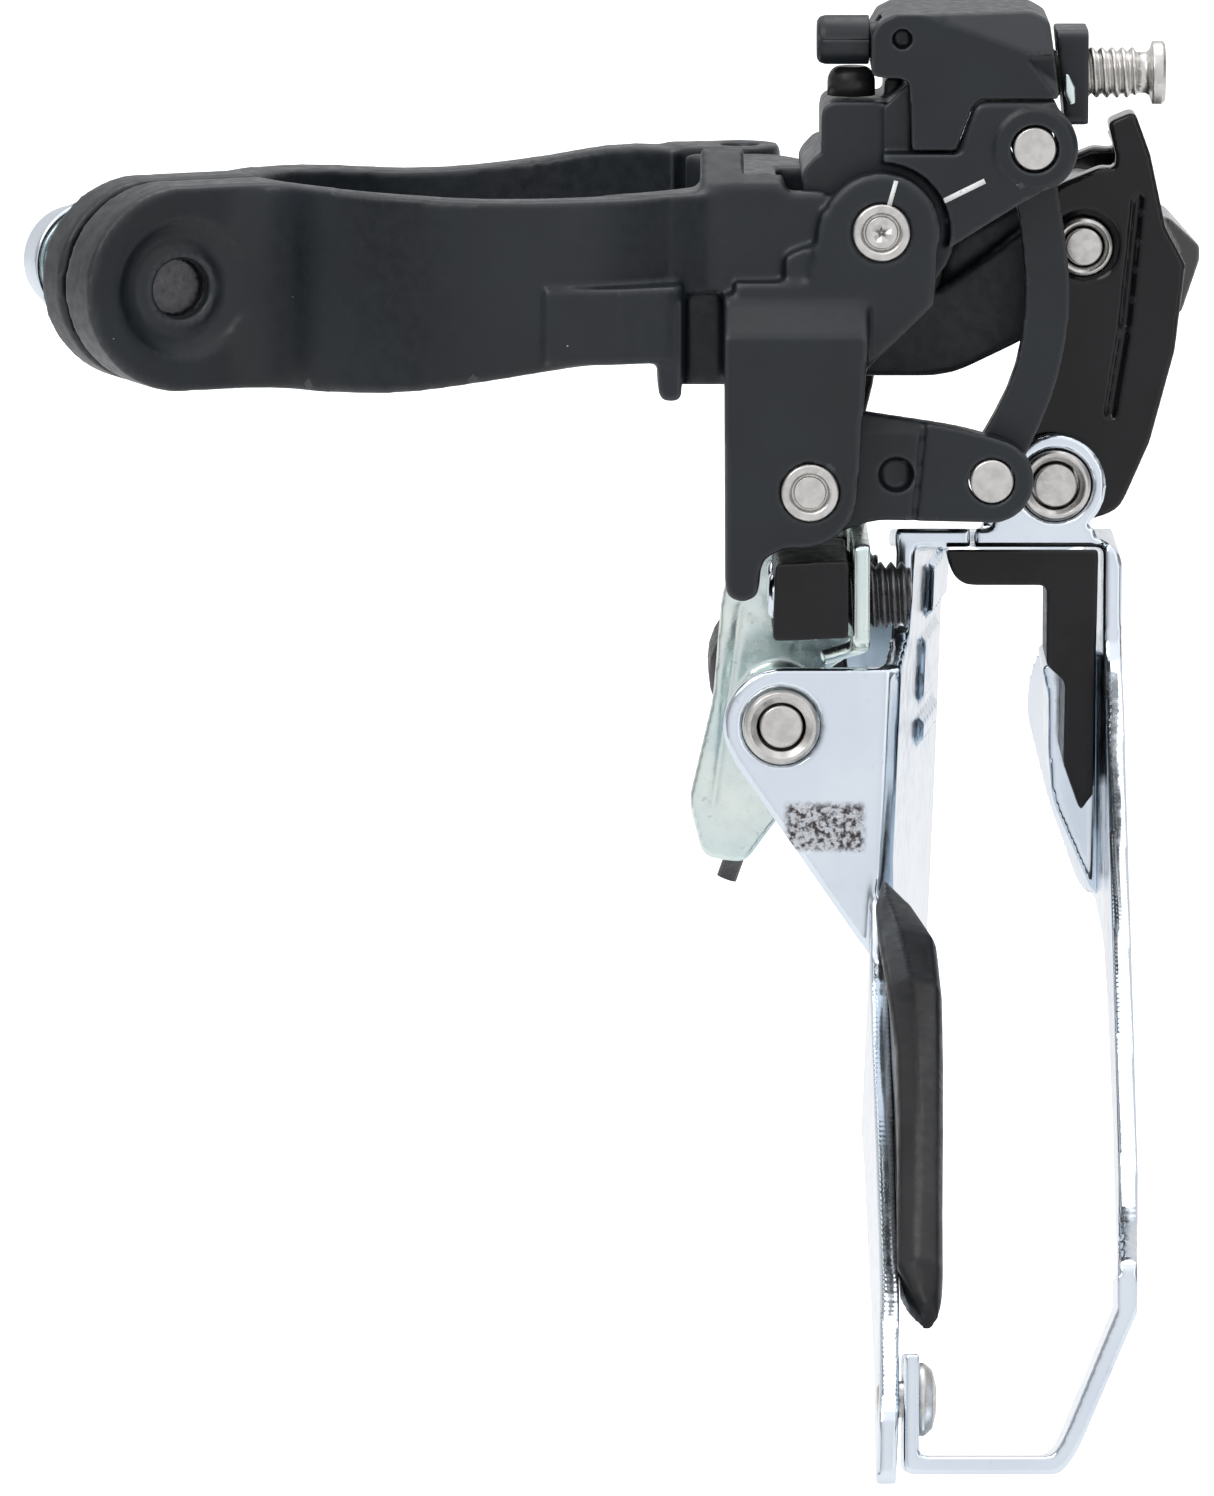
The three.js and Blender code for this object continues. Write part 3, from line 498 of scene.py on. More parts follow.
def eased(profile, radius, closed=False):
    """profile with each corner cut to a small round of about radius."""
    count = len(profile)
    result = []
    for i, point in enumerate(profile):
        if not closed and i in (0, count - 1):
            result.append(point)
            continue
        here = Vector(point)
        before = Vector(profile[i - 1]) - here
        after = Vector(profile[(i + 1) % count]) - here
        reach = min(radius, before.length * 0.45, after.length * 0.45)
        start = here + before.normalized() * reach
        end = here + after.normalized() * reach
        for t in (0.0, 0.25, 0.5, 0.75, 1.0):
            result.append(tuple(start * (1 - t) ** 2 + here * 2 * t * (1 - t) + end * t**2))
    return result


def bar(start, end, radius):
    """A plain round bar from start to end, used to cut and join."""
    axis = Vector(end) - Vector(start)
    length = axis.length
    profile = [(0, 0), (radius, 0), (radius, length), (0, length)]
    return turned(start, axis.normalized(), profile, 48)


def prism(outline, rear, front):
    """An outline of (x, z) pushed along Y."""
    return skin([[(x, y, z) for x, z in outline] for y in (rear, front)])


def hull(points):
    """The convex solid round points."""
    made = bmesh.new()
    for point in points:
        made.verts.new(Vector(point) * MM)
    result = bmesh.ops.convex_hull(made, input=made.verts)
    unused = result["geom_interior"] + result["geom_unused"]
    loose = {item for item in unused if isinstance(item, bmesh.types.BMVert)}
    bmesh.ops.delete(made, geom=list(loose), context="VERTS")
    bmesh.ops.recalc_face_normals(made, faces=made.faces)
    mesh = bpy.data.meshes.new("hull")
    made.to_mesh(mesh)
    made.free()
    return mesh


THREAD_SIDES = 48
THREAD_ROWS = 10  # rings of points in one turn of a thread
FLAT_SHARE = 0.9  # share of a threaded bar's end that shades as a flat face


def threaded(start, axis, length, radius, pitch, depth, run_out):
    """A closed bar with a V thread, thinned over run_out at both ends."""
    first, second = across(axis)
    steps = max(2, round(length / pitch * THREAD_ROWS))
    stations = [(length * k / steps, 1.0) for k in range(steps + 1)]
    stations = [(0.0, FLAT_SHARE), *stations, (length, FLAT_SHARE)]
    rings = [[Vector(start)]]
    for along, share in stations:
        ease = min(1.0, min(along, length - along) / run_out)
        ring = []
        for i in range(THREAD_SIDES):
            turn = i / THREAD_SIDES
            phase = (along / pitch - turn) % 1.0
            crest = min(1.0, abs(phase - 0.5) * 2.5)
            reach = share * (radius - depth * (1 - crest * ease))
            angle = 2 * math.pi * turn
            away = math.cos(angle) * first + math.sin(angle) * second
            ring.append(Vector(start) + axis * along + reach * away)
        rings.append(ring)
    rings.append([Vector(start) + axis * length])
    return skin(rings)


def tube(path, radius, sides):
    """A closed round wire along path."""
    first = across((path[1] - path[0]).normalized())[0]
    rings = []
    for k, here in enumerate(path):
        ahead = (path[min(k + 1, len(path) - 1)] - path[max(k - 1, 0)]).normalized()
        first = (first - ahead * first.dot(ahead)).normalized()
        rings.append(circle(here, first, ahead.cross(first), radius, sides))
    return skin(rings)


ROUND_REACH = 0.07  # how far a faceted round surface may lie from the true one
MELT_PASSES = 90


def on_round(points, normals, center, axis, radius):
    """Puts points near a round surface exactly on it, where the skin faces along its radius."""
    center, axis = np.array(center), np.array(axis)
    away = points - center
    away = away - (away @ axis)[:, None] * axis
    distance = np.maximum(np.linalg.norm(away, axis=1), 1e-6)
    facing = np.abs(np.einsum("ij,ij->i", away, normals)) / distance
    near = (np.abs(distance - radius) < ROUND_REACH) & (facing > 0.8)
    points[near] += away[near] * (radius / distance[near] - 1)[:, None]


def softened(mesh, passes, true_rounds=(), melts=()):
    """The mesh with its edges eased by a few passes of smoothing.

    true_rounds lists (center, axis, radius) of surfaces that the skin is put on first.
    melts lists (point, reach): upright faces within reach of point blend over their crease.
    """
    count = len(mesh.vertices)
    points = np.empty(count * 3)
    normals = np.empty(count * 3)
    mesh.vertices.foreach_get("co", points)
    mesh.vertices.foreach_get("normal", normals)
    points = points.reshape(-1, 3) / MM
    normals = normals.reshape(-1, 3)
    for surface in true_rounds:
        on_round(points, normals, *surface)
    edges = np.empty(len(mesh.edges) * 2, int)
    mesh.edges.foreach_get("vertices", edges)
    start, end = edges.reshape(-1, 2).T
    degree = np.bincount(start, minlength=count) + np.bincount(end, minlength=count)

    def smooth(share):
        total = np.empty_like(points)
        for k in range(3):
            total[:, k] = np.bincount(start, points[end, k], count)
            total[:, k] += np.bincount(end, points[start, k], count)
        points[:] += share * (total / degree[:, None] - points)

    for place, reach in melts:
        away = np.hypot(points[:, 0] - place.x, points[:, 1] - place.y)
        upright = np.abs(normals[:, 2]) < 0.25
        share = np.where(upright, np.clip(1.5 * (1 - away / reach), 0, 1) * 0.5, 0.0)[:, None]
        for _ in range(MELT_PASSES):
            smooth(share)
    for _ in range(passes):
        smooth(0.5)
    mesh.vertices.foreach_set("co", (points * MM).ravel())
    mesh.update()
    return mesh


def cast(node, voxel, passes, cuts=(), adds=(), true_rounds=(), melts=()):
    """A CAD node's solid with details joined and cut, remeshed evenly and its edges eased."""
    mesh = combined(cad_mesh(node), "UNION", adds)
    mesh = combined(mesh, "DIFFERENCE", cuts)
    remesh = {"mode": "VOXEL", "voxel_size": voxel * MM}
    mesh = settled(mesh, ("REMESH", remesh))
    return softened(mesh, passes, true_rounds, melts)


# ---- clamp ----
BAND_R = 20.5
BORE_R = 17.5
EAR_R = 7.1
EAR_X = BOLT_AXIS.cross(Z_AXIS)
REAR_BAND_CENTER = 0.8 * EAR_X - 0.4 * BOLT_AXIS
REAR_BAND_R = 19.8
NEAR_EAR = 5.0  # outer face of the tapped ear from the bolt's centre
HINGE_R = 2.9
ARM_BOSS_R = 4.05  # the bracket's boss at the rear of the arm
ARM_HUB_R = 4.4  # the bracket's hub at the front of the arm
OUTER_BOSS_R = 3.6
M5_MAJOR = 2.5
M5_MINOR = 2.07
M5_PITCH = 0.8


def along_bolt(distance):
    return BOLT_CENTER + BOLT_AXIS * distance


def ear_crease():
    """Where the ear's outer face runs into the rear of the band."""
    face = along_bolt(-NEAR_EAR)
    depth = face.dot(BOLT_AXIS) - REAR_BAND_CENTER.dot(BOLT_AXIS)
    toward_tube = 1 if face.dot(EAR_X) < 0 else -1
    reach = REAR_BAND_CENTER.dot(EAR_X) - toward_tube * math.sqrt(REAR_BAND_R**2 - depth**2)
    return EAR_X * reach + BOLT_AXIS * face.dot(BOLT_AXIS)


def ear_lip():
    """The ring of metal round the tapped hole that the dish leaves standing as a lip."""
    profile = [(2.0, 0.25), (2.9, 0.25), (2.9, 1.6), (2.0, 1.6)]
    return turned(along_bolt(-NEAR_EAR), BOLT_AXIS, profile, 64)


def ear_dish():
    """The shallow dish in the ear's face, with the mouth of the hole, as a tool."""
    profile = [
        (0, -1), (4.75, -1), (4.7, 0.0), (4.55, 0.35), (4.1, 0.55), (3.4, 0.75), (2.95, 0.7),
        (2.7, 0.45), (2.35, 0.3), (2.1, 0.5), (2.0, 0.9), (0, 0.9),
    ]
    return turned(along_bolt(-NEAR_EAR), BOLT_AXIS, profile, 96)


def bracket_web():
    """The web that fills the neck between the bracket's middle and its outer boss."""
    outline = [
        (31.3, -1.2), (31.8, 1.3), (32.5, 2.35), (35.0, 3.7),
        (37.2, 4.9), (38.3, 4.7), (38.3, 3.4), (34.0, 0.0),
    ]
    return prism(outline, -3.6, 5.4)


def bracket_slit():
    """The thin upright slit beside the link's block, as a tool."""
    x, top = LINK_PIVOT.x - 7.1, high("base_bracket").z - 9.6
    half, height = 0.12, 2.4
    outline = [(x - half, top - height), (x + half, top - height), (x + half, top), (x - half, top)]
    return prism(outline, -13.6, -12.3)


def bracket():
    surfaces = [
        (ORIGIN, Z_AXIS, BORE_R),
        (REAR_BAND_CENTER, Z_AXIS, REAR_BAND_R),
        (BOLT_CENTER, BOLT_AXIS, EAR_R),
        (ARM_PIVOT, Y_AXIS, ARM_BOSS_R),
        (ARM_PIVOT, Y_AXIS, ARM_HUB_R),
        (OUTER_PIVOT, Y_AXIS, OUTER_BOSS_R),
        (HINGE, Z_AXIS, HINGE_R),
    ]
    mesh = cast(
        "base_bracket",
        voxel=0.25,
        passes=5,
        adds=[ear_lip(), bracket_web()],
        cuts=[ear_dish(), bracket_slit()],
        true_rounds=surfaces,
        melts=[(ear_crease(), 4.5)],
    )
    return stand_in(mesh, "bracket_casting", "base_bracket")


def ear_thread():
    """The tapped wall of the ear's hole, as rings of V thread."""
    start, inner_end, turns = -NEAR_EAR + 0.9, -0.4, 5
    profile = [(M5_MAJOR + 0.15, inner_end), (M5_MAJOR + 0.15, start)]
    for k in range(turns):
        along = start + k * M5_PITCH * 0.85
        profile.append((M5_MINOR - 0.05, along + 0.06))
        profile.append((M5_MINOR - 0.05, along + 0.16))
        profile.append((M5_MAJOR, along + 0.4))
        profile.append((M5_MAJOR, along + 0.5))
    profile.append((M5_MINOR + 0.2, inner_end))
    mesh = turned(BOLT_CENTER, BOLT_AXIS, profile, 64)
    return piece_from(mesh, "ear_thread", BODY_OF["base_bracket"], "spring_steel")


def band():
    surfaces = [
        (ORIGIN, Z_AXIS, BAND_R),
        (ORIGIN, Z_AXIS, BORE_R),
        (BOLT_CENTER, BOLT_AXIS, EAR_R),
        (HINGE, Z_AXIS, HINGE_R),
    ]
    mesh = cast("band_arm", voxel=0.25, passes=5, true_rounds=surfaces)
    return stand_in(mesh, "band_casting", "band_arm")


def clamp_bolt():
    """The bolt: a threaded shank, and a washer head with a hexagon socket."""
    shank = threaded(
        along_bolt(-2.9), BOLT_AXIS, length=15.2, radius=2.4, pitch=M5_PITCH, depth=0.4, run_out=0.3
    )
    piece_from(shank, "clamp_bolt_thread", BODY_OF["clamp_bolt"], "spring_steel")
    profile = [(0, 4.7), (3.3, 4.7), (3.75, 4.1), (3.75, 1.2), (4.4, 1.0), (4.4, 0.0), (0, 0.0)]
    head = turned(along_bolt(12.0), BOLT_AXIS, eased(profile, 0.25), 96)
    socket = turned(along_bolt(13.6), BOLT_AXIS, [(0, 0), (2.3, 0), (2.3, 5), (0, 5)], 6)
    mesh = combined(head, "DIFFERENCE", [socket])
    return stand_in(mesh, "clamp_bolt_head", "clamp_bolt")


def clamp_washer():
    ring = eased([(2.6, 10.8), (3.9, 10.8), (3.9, 11.7), (2.6, 11.7)], 0.15, closed=True)
    mesh = turned(BOLT_CENTER, BOLT_AXIS, ring, 96)
    return stand_in(mesh, "clamp_washer_finished", "clamp_washer")


# ---- pins, bushes and screws ----
PIN_R = 1.98
LINK_BUSH_BORE_R = 1.45
CAGE_BUSH_BORE_R = 1.7


def star(center, outer, inner, depth):
    """A five-pointed punch mark, as a tool."""
    outline = []
    for k in range(10):
        reach = outer if k % 2 == 0 else inner
        angle = 2 * math.pi * k / 10 + 0.4
        outline.append((center.x + reach * math.cos(angle), center.z + reach * math.sin(angle)))
    return prism(outline, center.y - 1, center.y + depth)


def staked_pin(node, punched):
    """A pin with a staked end: an outer ring, a groove and a middle, which may be punched."""
    radius, length = PIN_R, span_y(node)
    profile = [
        (0, 0.22), (radius * 0.55, 0.22), (radius * 0.56, 0.5), (radius * 0.64, 0.5),
        (radius * 0.68, 0.1), (radius * 0.74, 0), (radius * 0.94, 0), (radius, 0.14),
        (radius, length - 0.2), (radius * 0.9, length), (0, length),
    ]
    mesh = turned(rear_end(node), Y_AXIS, eased(profile, 0.08))
    if punched:
        mark = star(rear_end(node), radius * 0.2, radius * 0.09, 0.6)
        mesh = combined(mesh, "DIFFERENCE", [mark])
    return stand_in(mesh, node + "_staked", node)


def plain_pin(node):
    length = span_y(node)
    radius = span_x(node) / 2
    chamfer = 0.12
    profile = [
        (0, -0.02), (radius * 0.6, 0), (radius - chamfer, 0.02), (radius, chamfer),
        (radius, length - chamfer), (radius - chamfer, length), (0, length),
    ]
    return stand_in(turned(rear_end(node), Y_AXIS, eased(profile, 0.06)), node + "_turned", node)


def bush(node, bore):
    """A bush whose bore opens in a wide bevel at the rear."""
    length = span_y(node)
    outer = span_x(node) / 2
    lip = bore + (outer - bore) * 0.35
    profile = [
        (bore, 0.35), (lip, 0.1), (lip + 0.12, 0), (outer - 0.2, 0), (outer, 0.2),
        (outer, length - 0.15), (outer - 0.15, length), (bore, length),
    ]
    mesh = turned(rear_end(node), Y_AXIS, eased(profile, 0.07, closed=True))
    return stand_in(mesh, node + "_turned", node)


def band_hinge_pin():
    start = Vector((HINGE.x, HINGE.y, low("band_hinge_pin").z))
    length = high("band_hinge_pin").z - start.z
    profile = [(0, 0), (1.0, 0), (1.2, 0.2), (1.2, length - 0.2), (1.0, length), (0, length)]
    mesh = turned(start, Z_AXIS, eased(profile, 0.06))
    return stand_in(mesh, "band_hinge_pin_turned", "band_hinge_pin")


def cable_bolt():
    """The bolt that pinches the cable, with its thin round head at the outboard end."""
    start = inboard_end("cable_bolt")
    length = span_x("cable_bolt")
    flange = length - 1.0
    shank = threaded(start, X_AXIS, flange - 0.85, radius=1.75, pitch=0.7, depth=0.32, run_out=0.35)
    profile = [
        (0, flange - 2), (1.42, flange - 2), (1.42, flange - 0.35), (1.6, flange - 0.1),
        (2.2, flange + 0.1), (2.2, length - 0.2), (2.0, length), (1.0, length),
        (0.7, length - 0.35), (0, length - 0.4),
    ]
    head = turned(start, X_AXIS, eased(profile, 0.12))
    return stand_in(combined(shank, "UNION", [head]), "cable_bolt_threaded", "cable_bolt")


def limit_screw(node):
    """A screw with a small round head, and its thread as a piece of darker steel, dark also as painted shade in
    its grooves.
    """
    start = inboard_end(node)
    neck = 2.1
    length = span_x(node) - neck
    shank = threaded(
        start + X_AXIS * neck, X_AXIS, length, radius=2.3, pitch=0.73, depth=0.44, run_out=0.3
    )
    # the thread's darker steel also stands in as painted shade in its grooves
    piece_from(shank, node + "_thread", BODY_OF[node], "spring_steel")
    profile = eased([(0, 0), (1.35, 0), (1.6, 0.25), (1.6, 2.0), (0, 2.0)], 0.12)
    head = turned(start, X_AXIS, profile, 48)
    socket = turned(start - X_AXIS, X_AXIS, [(0, 0), (0.9, 0), (0.9, 2.2), (0, 2.2)], 6)
    mesh = combined(head, "DIFFERENCE", [socket])
    return stand_in(mesh, node + "_head", node)


def return_spring():
    """Six turns of wire along Y, with the leg that comes off them at the rear."""
    wire, coil_r, turns, steps = 0.72, 4.2, 6, 28
    first, last = low("return_spring"), high("return_spring")
    center = Vector((CAGE_PIVOT.x, 0, last.z - coil_r - 0.75))
    rear, front = first.y + wire, last.y - wire
    path = [Vector((first.x + 1.3, rear, first.z + wire)), Vector((18.4, rear, -38.0))]
    for k in range(turns * steps + 1):
        share = k / (turns * steps)
        angle = -0.5 * math.pi + 2 * math.pi * turns * share
        y = rear + (front - rear) * share
        path.append(beside(center, coil_r * math.cos(angle), y, coil_r * math.sin(angle)))
    return stand_in(tube(path, wire, 16), "return_spring_coiled", "return_spring")


# ---- castings with their fine details ----
def cable_arm():
    """The arm with its raised boss round the toggle's pin, and the shapes under the anchor."""
    rear = low("cable_arm").y
    boss_r, rim, boss_end = 2.8, 0.15, 1.25
    boss_profile = [(0, 0), (boss_r - rim, 0), (boss_r, rim), (boss_r, boss_end), (0, boss_end)]
    boss = turned(beside(TOGGLE_TOP, 0, rear - 0.25, 0), Y_AXIS, boss_profile, 64)
    hole = bar(beside(TOGGLE_TOP, 0, rear - 1, 0), beside(TOGGLE_TOP, 0, rear + 3.6, 0), 1.66)
    tower = prism([(27.2, 9.0), (29.12, 9.0), (28.95, 14.1), (27.2, 12.4)], -13.0, -4.0)
    seat_outline = [
        (32.1, 9.3), (32.35, 9.78), (33.32, 12.36), (33.66, 12.8), (34.2, 12.92),
        (38.9, 12.92), (39.2, 12.2), (37.5, 11.5), (34.0, 11.5), (33.2, 9.3),
    ]
    seat = prism(seat_outline, rear + 0.3, rear + 3.0)
    mesh = cast("cable_arm", voxel=0.16, passes=3, adds=[boss, tower, seat], cuts=[hole])
    return stand_in(mesh, "cable_arm_casting", "cable_arm")


def anchor_block():
    """The block with its long crease, its sloping end and its rounded shoulder."""
    inboard, outboard = low("cable_anchor_block"), high("cable_anchor_block")
    rear, top = inboard.y - 0.1, outboard.z
    start, stop = inboard.x + 3.1, outboard.x + 0.6
    crease = hull([
        (start, rear, top), (start, rear, top + 0.6), (start, rear + 0.3, top + 0.6),
        (stop, rear, top - 3.8), (stop, rear, top + 0.6), (stop, rear + 3.9, top + 0.6),
    ])
    end, upper, lower = outboard.x + 1, top - 2.8, top - 5.6
    corner = hull([
        (outboard.x - 2.5, rear, upper), (outboard.x - 0.3, rear, lower), (end, rear, lower),
        (end, rear, upper), (end, rear + 2.0, upper), (end, rear + 2.0, lower),
    ])
    shoulder_outline = [
        (inboard.x - 0.2, top - 1.9), (inboard.x + 0.6, top - 0.5),
        (inboard.x + 2.0, top + 0.2), (inboard.x - 0.2, top + 0.2),
    ]
    shoulder = prism(shoulder_outline, rear - 1, outboard.y + 1)
    mesh = cast("cable_anchor_block", voxel=0.16, passes=3, cuts=[crease, corner, shoulder])
    return stand_in(mesh, "cable_anchor_casting", "cable_anchor_block")


def anchor_slider():
    """A round slider with a parting line, its stem in the anchor block's pocket."""
    start = inboard_end("anchor_slider")
    rear = low("anchor_slider").y
    radius = (high("anchor_slider").z - low("anchor_slider").z) / 2
    length = span_x("anchor_slider")
    stem_r, head = 1.25, length - 1.9
    profile = [
        (0, 0), (radius * 0.75, 0.0), (radius * 0.93, 0.2), (radius, 0.6), (radius, head),
        (stem_r, head), (stem_r, length), (0, length),
    ]
    mesh = turned(start, X_AXIS, eased(profile, 0.12), 64)
    seam = hull([
        (x, y, z)
        for x in (start.x - 1, start.x + head + 0.2)
        for y in (rear - 0.5, rear + 0.25)
        for z in (start.z + 0.1, start.z + 0.17)
    ])
    return stand_in(combined(mesh, "DIFFERENCE", [seam]), "anchor_slider_turned", "anchor_slider")


def adjuster_cap():
    """A domed cap."""
    base, center = low("adjuster_cap"), middle("adjuster_cap")
    height = high("adjuster_cap").z - base.z + 0.35
    radius = span_x("adjuster_cap") / 2
    steps = 8
    profile = [(0, 0), (radius, 0)]
    for k in range(steps + 1):
        angle = math.pi / 2 * k / steps
        reach = radius * (0.5 + 0.5 * math.cos(angle))
        profile.append((reach, height * (0.45 + 0.55 * math.sin(angle))))
    profile.append((0, height))
    mesh = turned((center.x, center.y, base.z), Z_AXIS, profile, 48)
    return stand_in(mesh, "adjuster_cap_domed", "adjuster_cap")


def clamp_tab():
    """The bright corner of sheet that stands at the edge of the washer plate."""
    near, far = low("cable_clamp_tab"), high("cable_clamp_tab")
    outline = [
        (near.x, far.z), (near.x + 0.25, far.z), (far.x, near.z + 0.8), (far.x, near.z - 0.3),
        (near.x + 0.3, near.z - 0.4), (near.x, near.z + 0.3),
    ]
    mesh = prism(outline, near.y, far.y)
    mesh = settled(mesh, ("BEVEL", {"width": 0.1 * MM, "segments": 2}))
    return stand_in(mesh, "cable_clamp_tab_bent", "cable_clamp_tab")


def crank_arm():
    """The crank with its round dimple, the line across it and the bevel on its top edge."""
    rear = low("crank_arm").y
    dimple_profile = [(0, -1), (1.3, -1), (1.25, 0), (1.05, 0.8), (0.5, 0.95), (0, 0.95)]
    dimple = turned(beside(LINK_PIVOT, 6.0, rear, 0.76), Y_AXIS, dimple_profile, 48)
    line = bar(beside(LINK_PIVOT, 7.95, rear, 4.6), beside(LINK_PIVOT, 7.2, rear, -3.2), 0.24)
    bevel = hull([
        beside(LINK_PIVOT, x, y, z)
        for x in (2.5, 7.9)
        for y, z in ((rear - 0.3, 3.1), (rear - 0.3, 6.0), (rear + 1.4, 6.0))
    ])
    mesh = cast("crank_arm", voxel=0.16, passes=3, cuts=[dimple, line, bevel])
    return stand_in(mesh, "crank_arm_casting", "crank_arm")


def outer_link():
    """The glossy link with its horn, the line down its side and the sunk face round its pivot."""
    rear = low("outer_link").y
    horn_outline = [
        (OUTER_PIVOT.x + x, OUTER_PIVOT.z + z)
        for x, z in ((1.7, 8.3), (2.2, 6.3), (2.1, 4.9), (4.0, 4.7), (4.4, 6.5), (3.4, 9.2))
    ]
    horn = prism(horn_outline, rear, rear + 2.2)
    line = ((3.8, 3.6), (2.9, -5.8), (1.9, -12.1))
    line_points = [beside(OUTER_PIVOT, x, rear, z) for x, z in line]
    lines = [bar(one, two, 0.38) for one, two in zip(line_points, line_points[1:])]
    sunk_profile = [(0, -1), (2.75, -1), (2.7, 0), (2.5, 0.22), (0, 0.22)]
    sunk = turned(beside(OUTER_PIVOT, 0, rear, 0), Y_AXIS, sunk_profile, 64)
    mesh = cast("outer_link", voxel=0.19, passes=3, adds=[horn], cuts=lines + [sunk])
    return stand_in(mesh, "outer_link_casting", "outer_link")


def pivot_sleeve():
    """The bright turned half sleeve that shows over the bracket's outer boss."""
    rear, front, steps = -4.2, 6.0, 18
    inner, outer = OUTER_BOSS_R + 0.02, OUTER_BOSS_R + 0.45
    rings = []
    for k in range(steps + 1):
        angle = math.radians(22 + 136 * k / steps)
        rings.append([
            beside(OUTER_PIVOT, radius * math.cos(angle), y, radius * math.sin(angle))
            for radius, y in ((inner, rear), (outer, rear), (outer, front), (inner, front))
        ])
    return piece_from(skin(rings), "outer_pivot_sleeve", BODY_OF["base_bracket"], "stainless")


# ---- inner link and cage ----
def inner_link():
    """The plated link with the curled tab under its screws and a fold line down its side."""
    rear = low("inner_link").y
    fold_y = -4.65
    curl_start = beside(CAGE_PIVOT, 2.8, rear + 3.7, 4.4)
    curl = bar(curl_start, beside(CAGE_PIVOT, 5.9, rear + 4.6, 5.2), 0.55)
    fold = bar(beside(CAGE_PIVOT, -2.7, fold_y, 7), beside(CAGE_PIVOT, -4.6, fold_y, -7.5), 0.22)
    mesh = cast("inner_link", voxel=0.19, passes=4, adds=[curl], cuts=[fold])
    return stand_in(mesh, "inner_link_pressed", "inner_link")


LEAN = 0.04  # the inner plate leans inboard by this share of the height
LEAN_Z = -26
PLATE_X, PLATE_Y = 29.2, -9  # a point of its outboard face at LEAN_Z
PLATE_TURN = 0.1286  # it turns outboard by this share of the way to the front


def inner_plate_x(y, z):
    """The outboard face of the inner plate ahead of the lug, in X."""
    return PLATE_X + (y - PLATE_Y) * PLATE_TURN + LEAN * (z - LEAN_Z)


def pressed_mark(y_range, z_range, proud):
    """A raised pressing on the outboard face of the inner plate, with sloping sides."""
    points = []
    for depth, y_inset, z_inset in ((-0.3, 0.0, 0.0), (proud, 0.1, 0.4)):
        for y in (y_range[0] + y_inset, y_range[1] - y_inset):
            for z in (z_range[0] + z_inset, z_range[1] - z_inset):
                points.append((inner_plate_x(y, z) + depth, y, z))
    return hull(points)


def cage_inner_plate():
    """The inner plate with its pressed marks, its eased bend behind and a slot at its tail."""
    marks = [
        pressed_mark((1.5, 12.5), (-25.2, -21.2), 0.5),
        pressed_mark((-1.0, 9.0), (-31.0, -26.0), 0.35),
        pressed_mark((-1.0, 9.5), (-34.0, -31.8), 0.45),
    ]
    bend_x, bend_y = 28.4, -15.9
    bend = hull([
        (bend_x + x + LEAN * (z - LEAN_Z), bend_y + y, z)
        for z in (-26.4, -43.5)
        for x, y in ((-1.1, -0.3), (0.6, -0.3), (0.6, 1.2))
    ])
    slot_y, slot_z = -52.9, low("cage_inner_plate").z + 6.8
    slot = hull([
        (x, slot_y + y, slot_z + z + y)
        for x in (24, 30)
        for y in (0, 1.4)
        for z in (0, 0.5)
    ])
    mesh = cast("cage_inner_plate", voxel=0.21, passes=3, adds=marks, cuts=[bend, slot])
    return stand_in(mesh, "cage_inner_pressed", "cage_inner_plate")


def cage_outer_plate():
    """The outer plate with its bend between wall and bridge rounded."""
    bend, steps = 1.8, 8
    wall, bridge_top = high("cage_outer_plate").x, CAGE_PIVOT.z + 12.03
    outline = [(wall + 1, bridge_top + 1), (wall - bend, bridge_top + 1)]
    for k in range(steps + 1):
        angle = math.pi / 2 * (1 - k / steps)
        x, z = bend * math.cos(angle), bend * math.sin(angle)
        outline.append((wall - bend + x, bridge_top - bend + z))
    outline.append((wall + 1, bridge_top - bend))
    mesh = cast("cage_outer_plate", voxel=0.21, passes=3, cuts=[prism(outline, -12, 14)])
    return stand_in(mesh, "cage_outer_pressed", "cage_outer_plate")


# the pad's stations from its front tip: back and down to its upper edge, back and down to its lower
# edge, then its inboard edge, crease and outboard edge from the CAD pad's inboard side
PAD_STATIONS = [
    (0.0, 0.2, 1.0, 8.0, -0.4, -0.2, 0.3),
    (3.0, 1.0, 2.5, 11.6, -0.85, -0.1, 1.9),
    (8.0, 2.4, 7.5, 14.4, -0.75, 0.75, 3.3),
    (14.5, 4.7, 13.5, 16.4, -0.3, 1.35, 3.5),
    (21.0, 7.8, 20.0, 18.2, 0.15, 1.65, 3.4),
    (28.5, 11.4, 27.0, 19.9, 0.1, 1.6, 3.2),
    (35.0, 15.2, 33.0, 21.0, -0.1, 1.35, 3.0),
    (40.0, 18.7, 38.0, 21.8, -0.2, 1.1, 2.9),
    (41.6, 20.4, 41.0, 22.2, 0.6, 1.5, 2.75),
    (42.3, 21.3, 42.6, 22.8, 1.5, 1.9, 2.55),
]


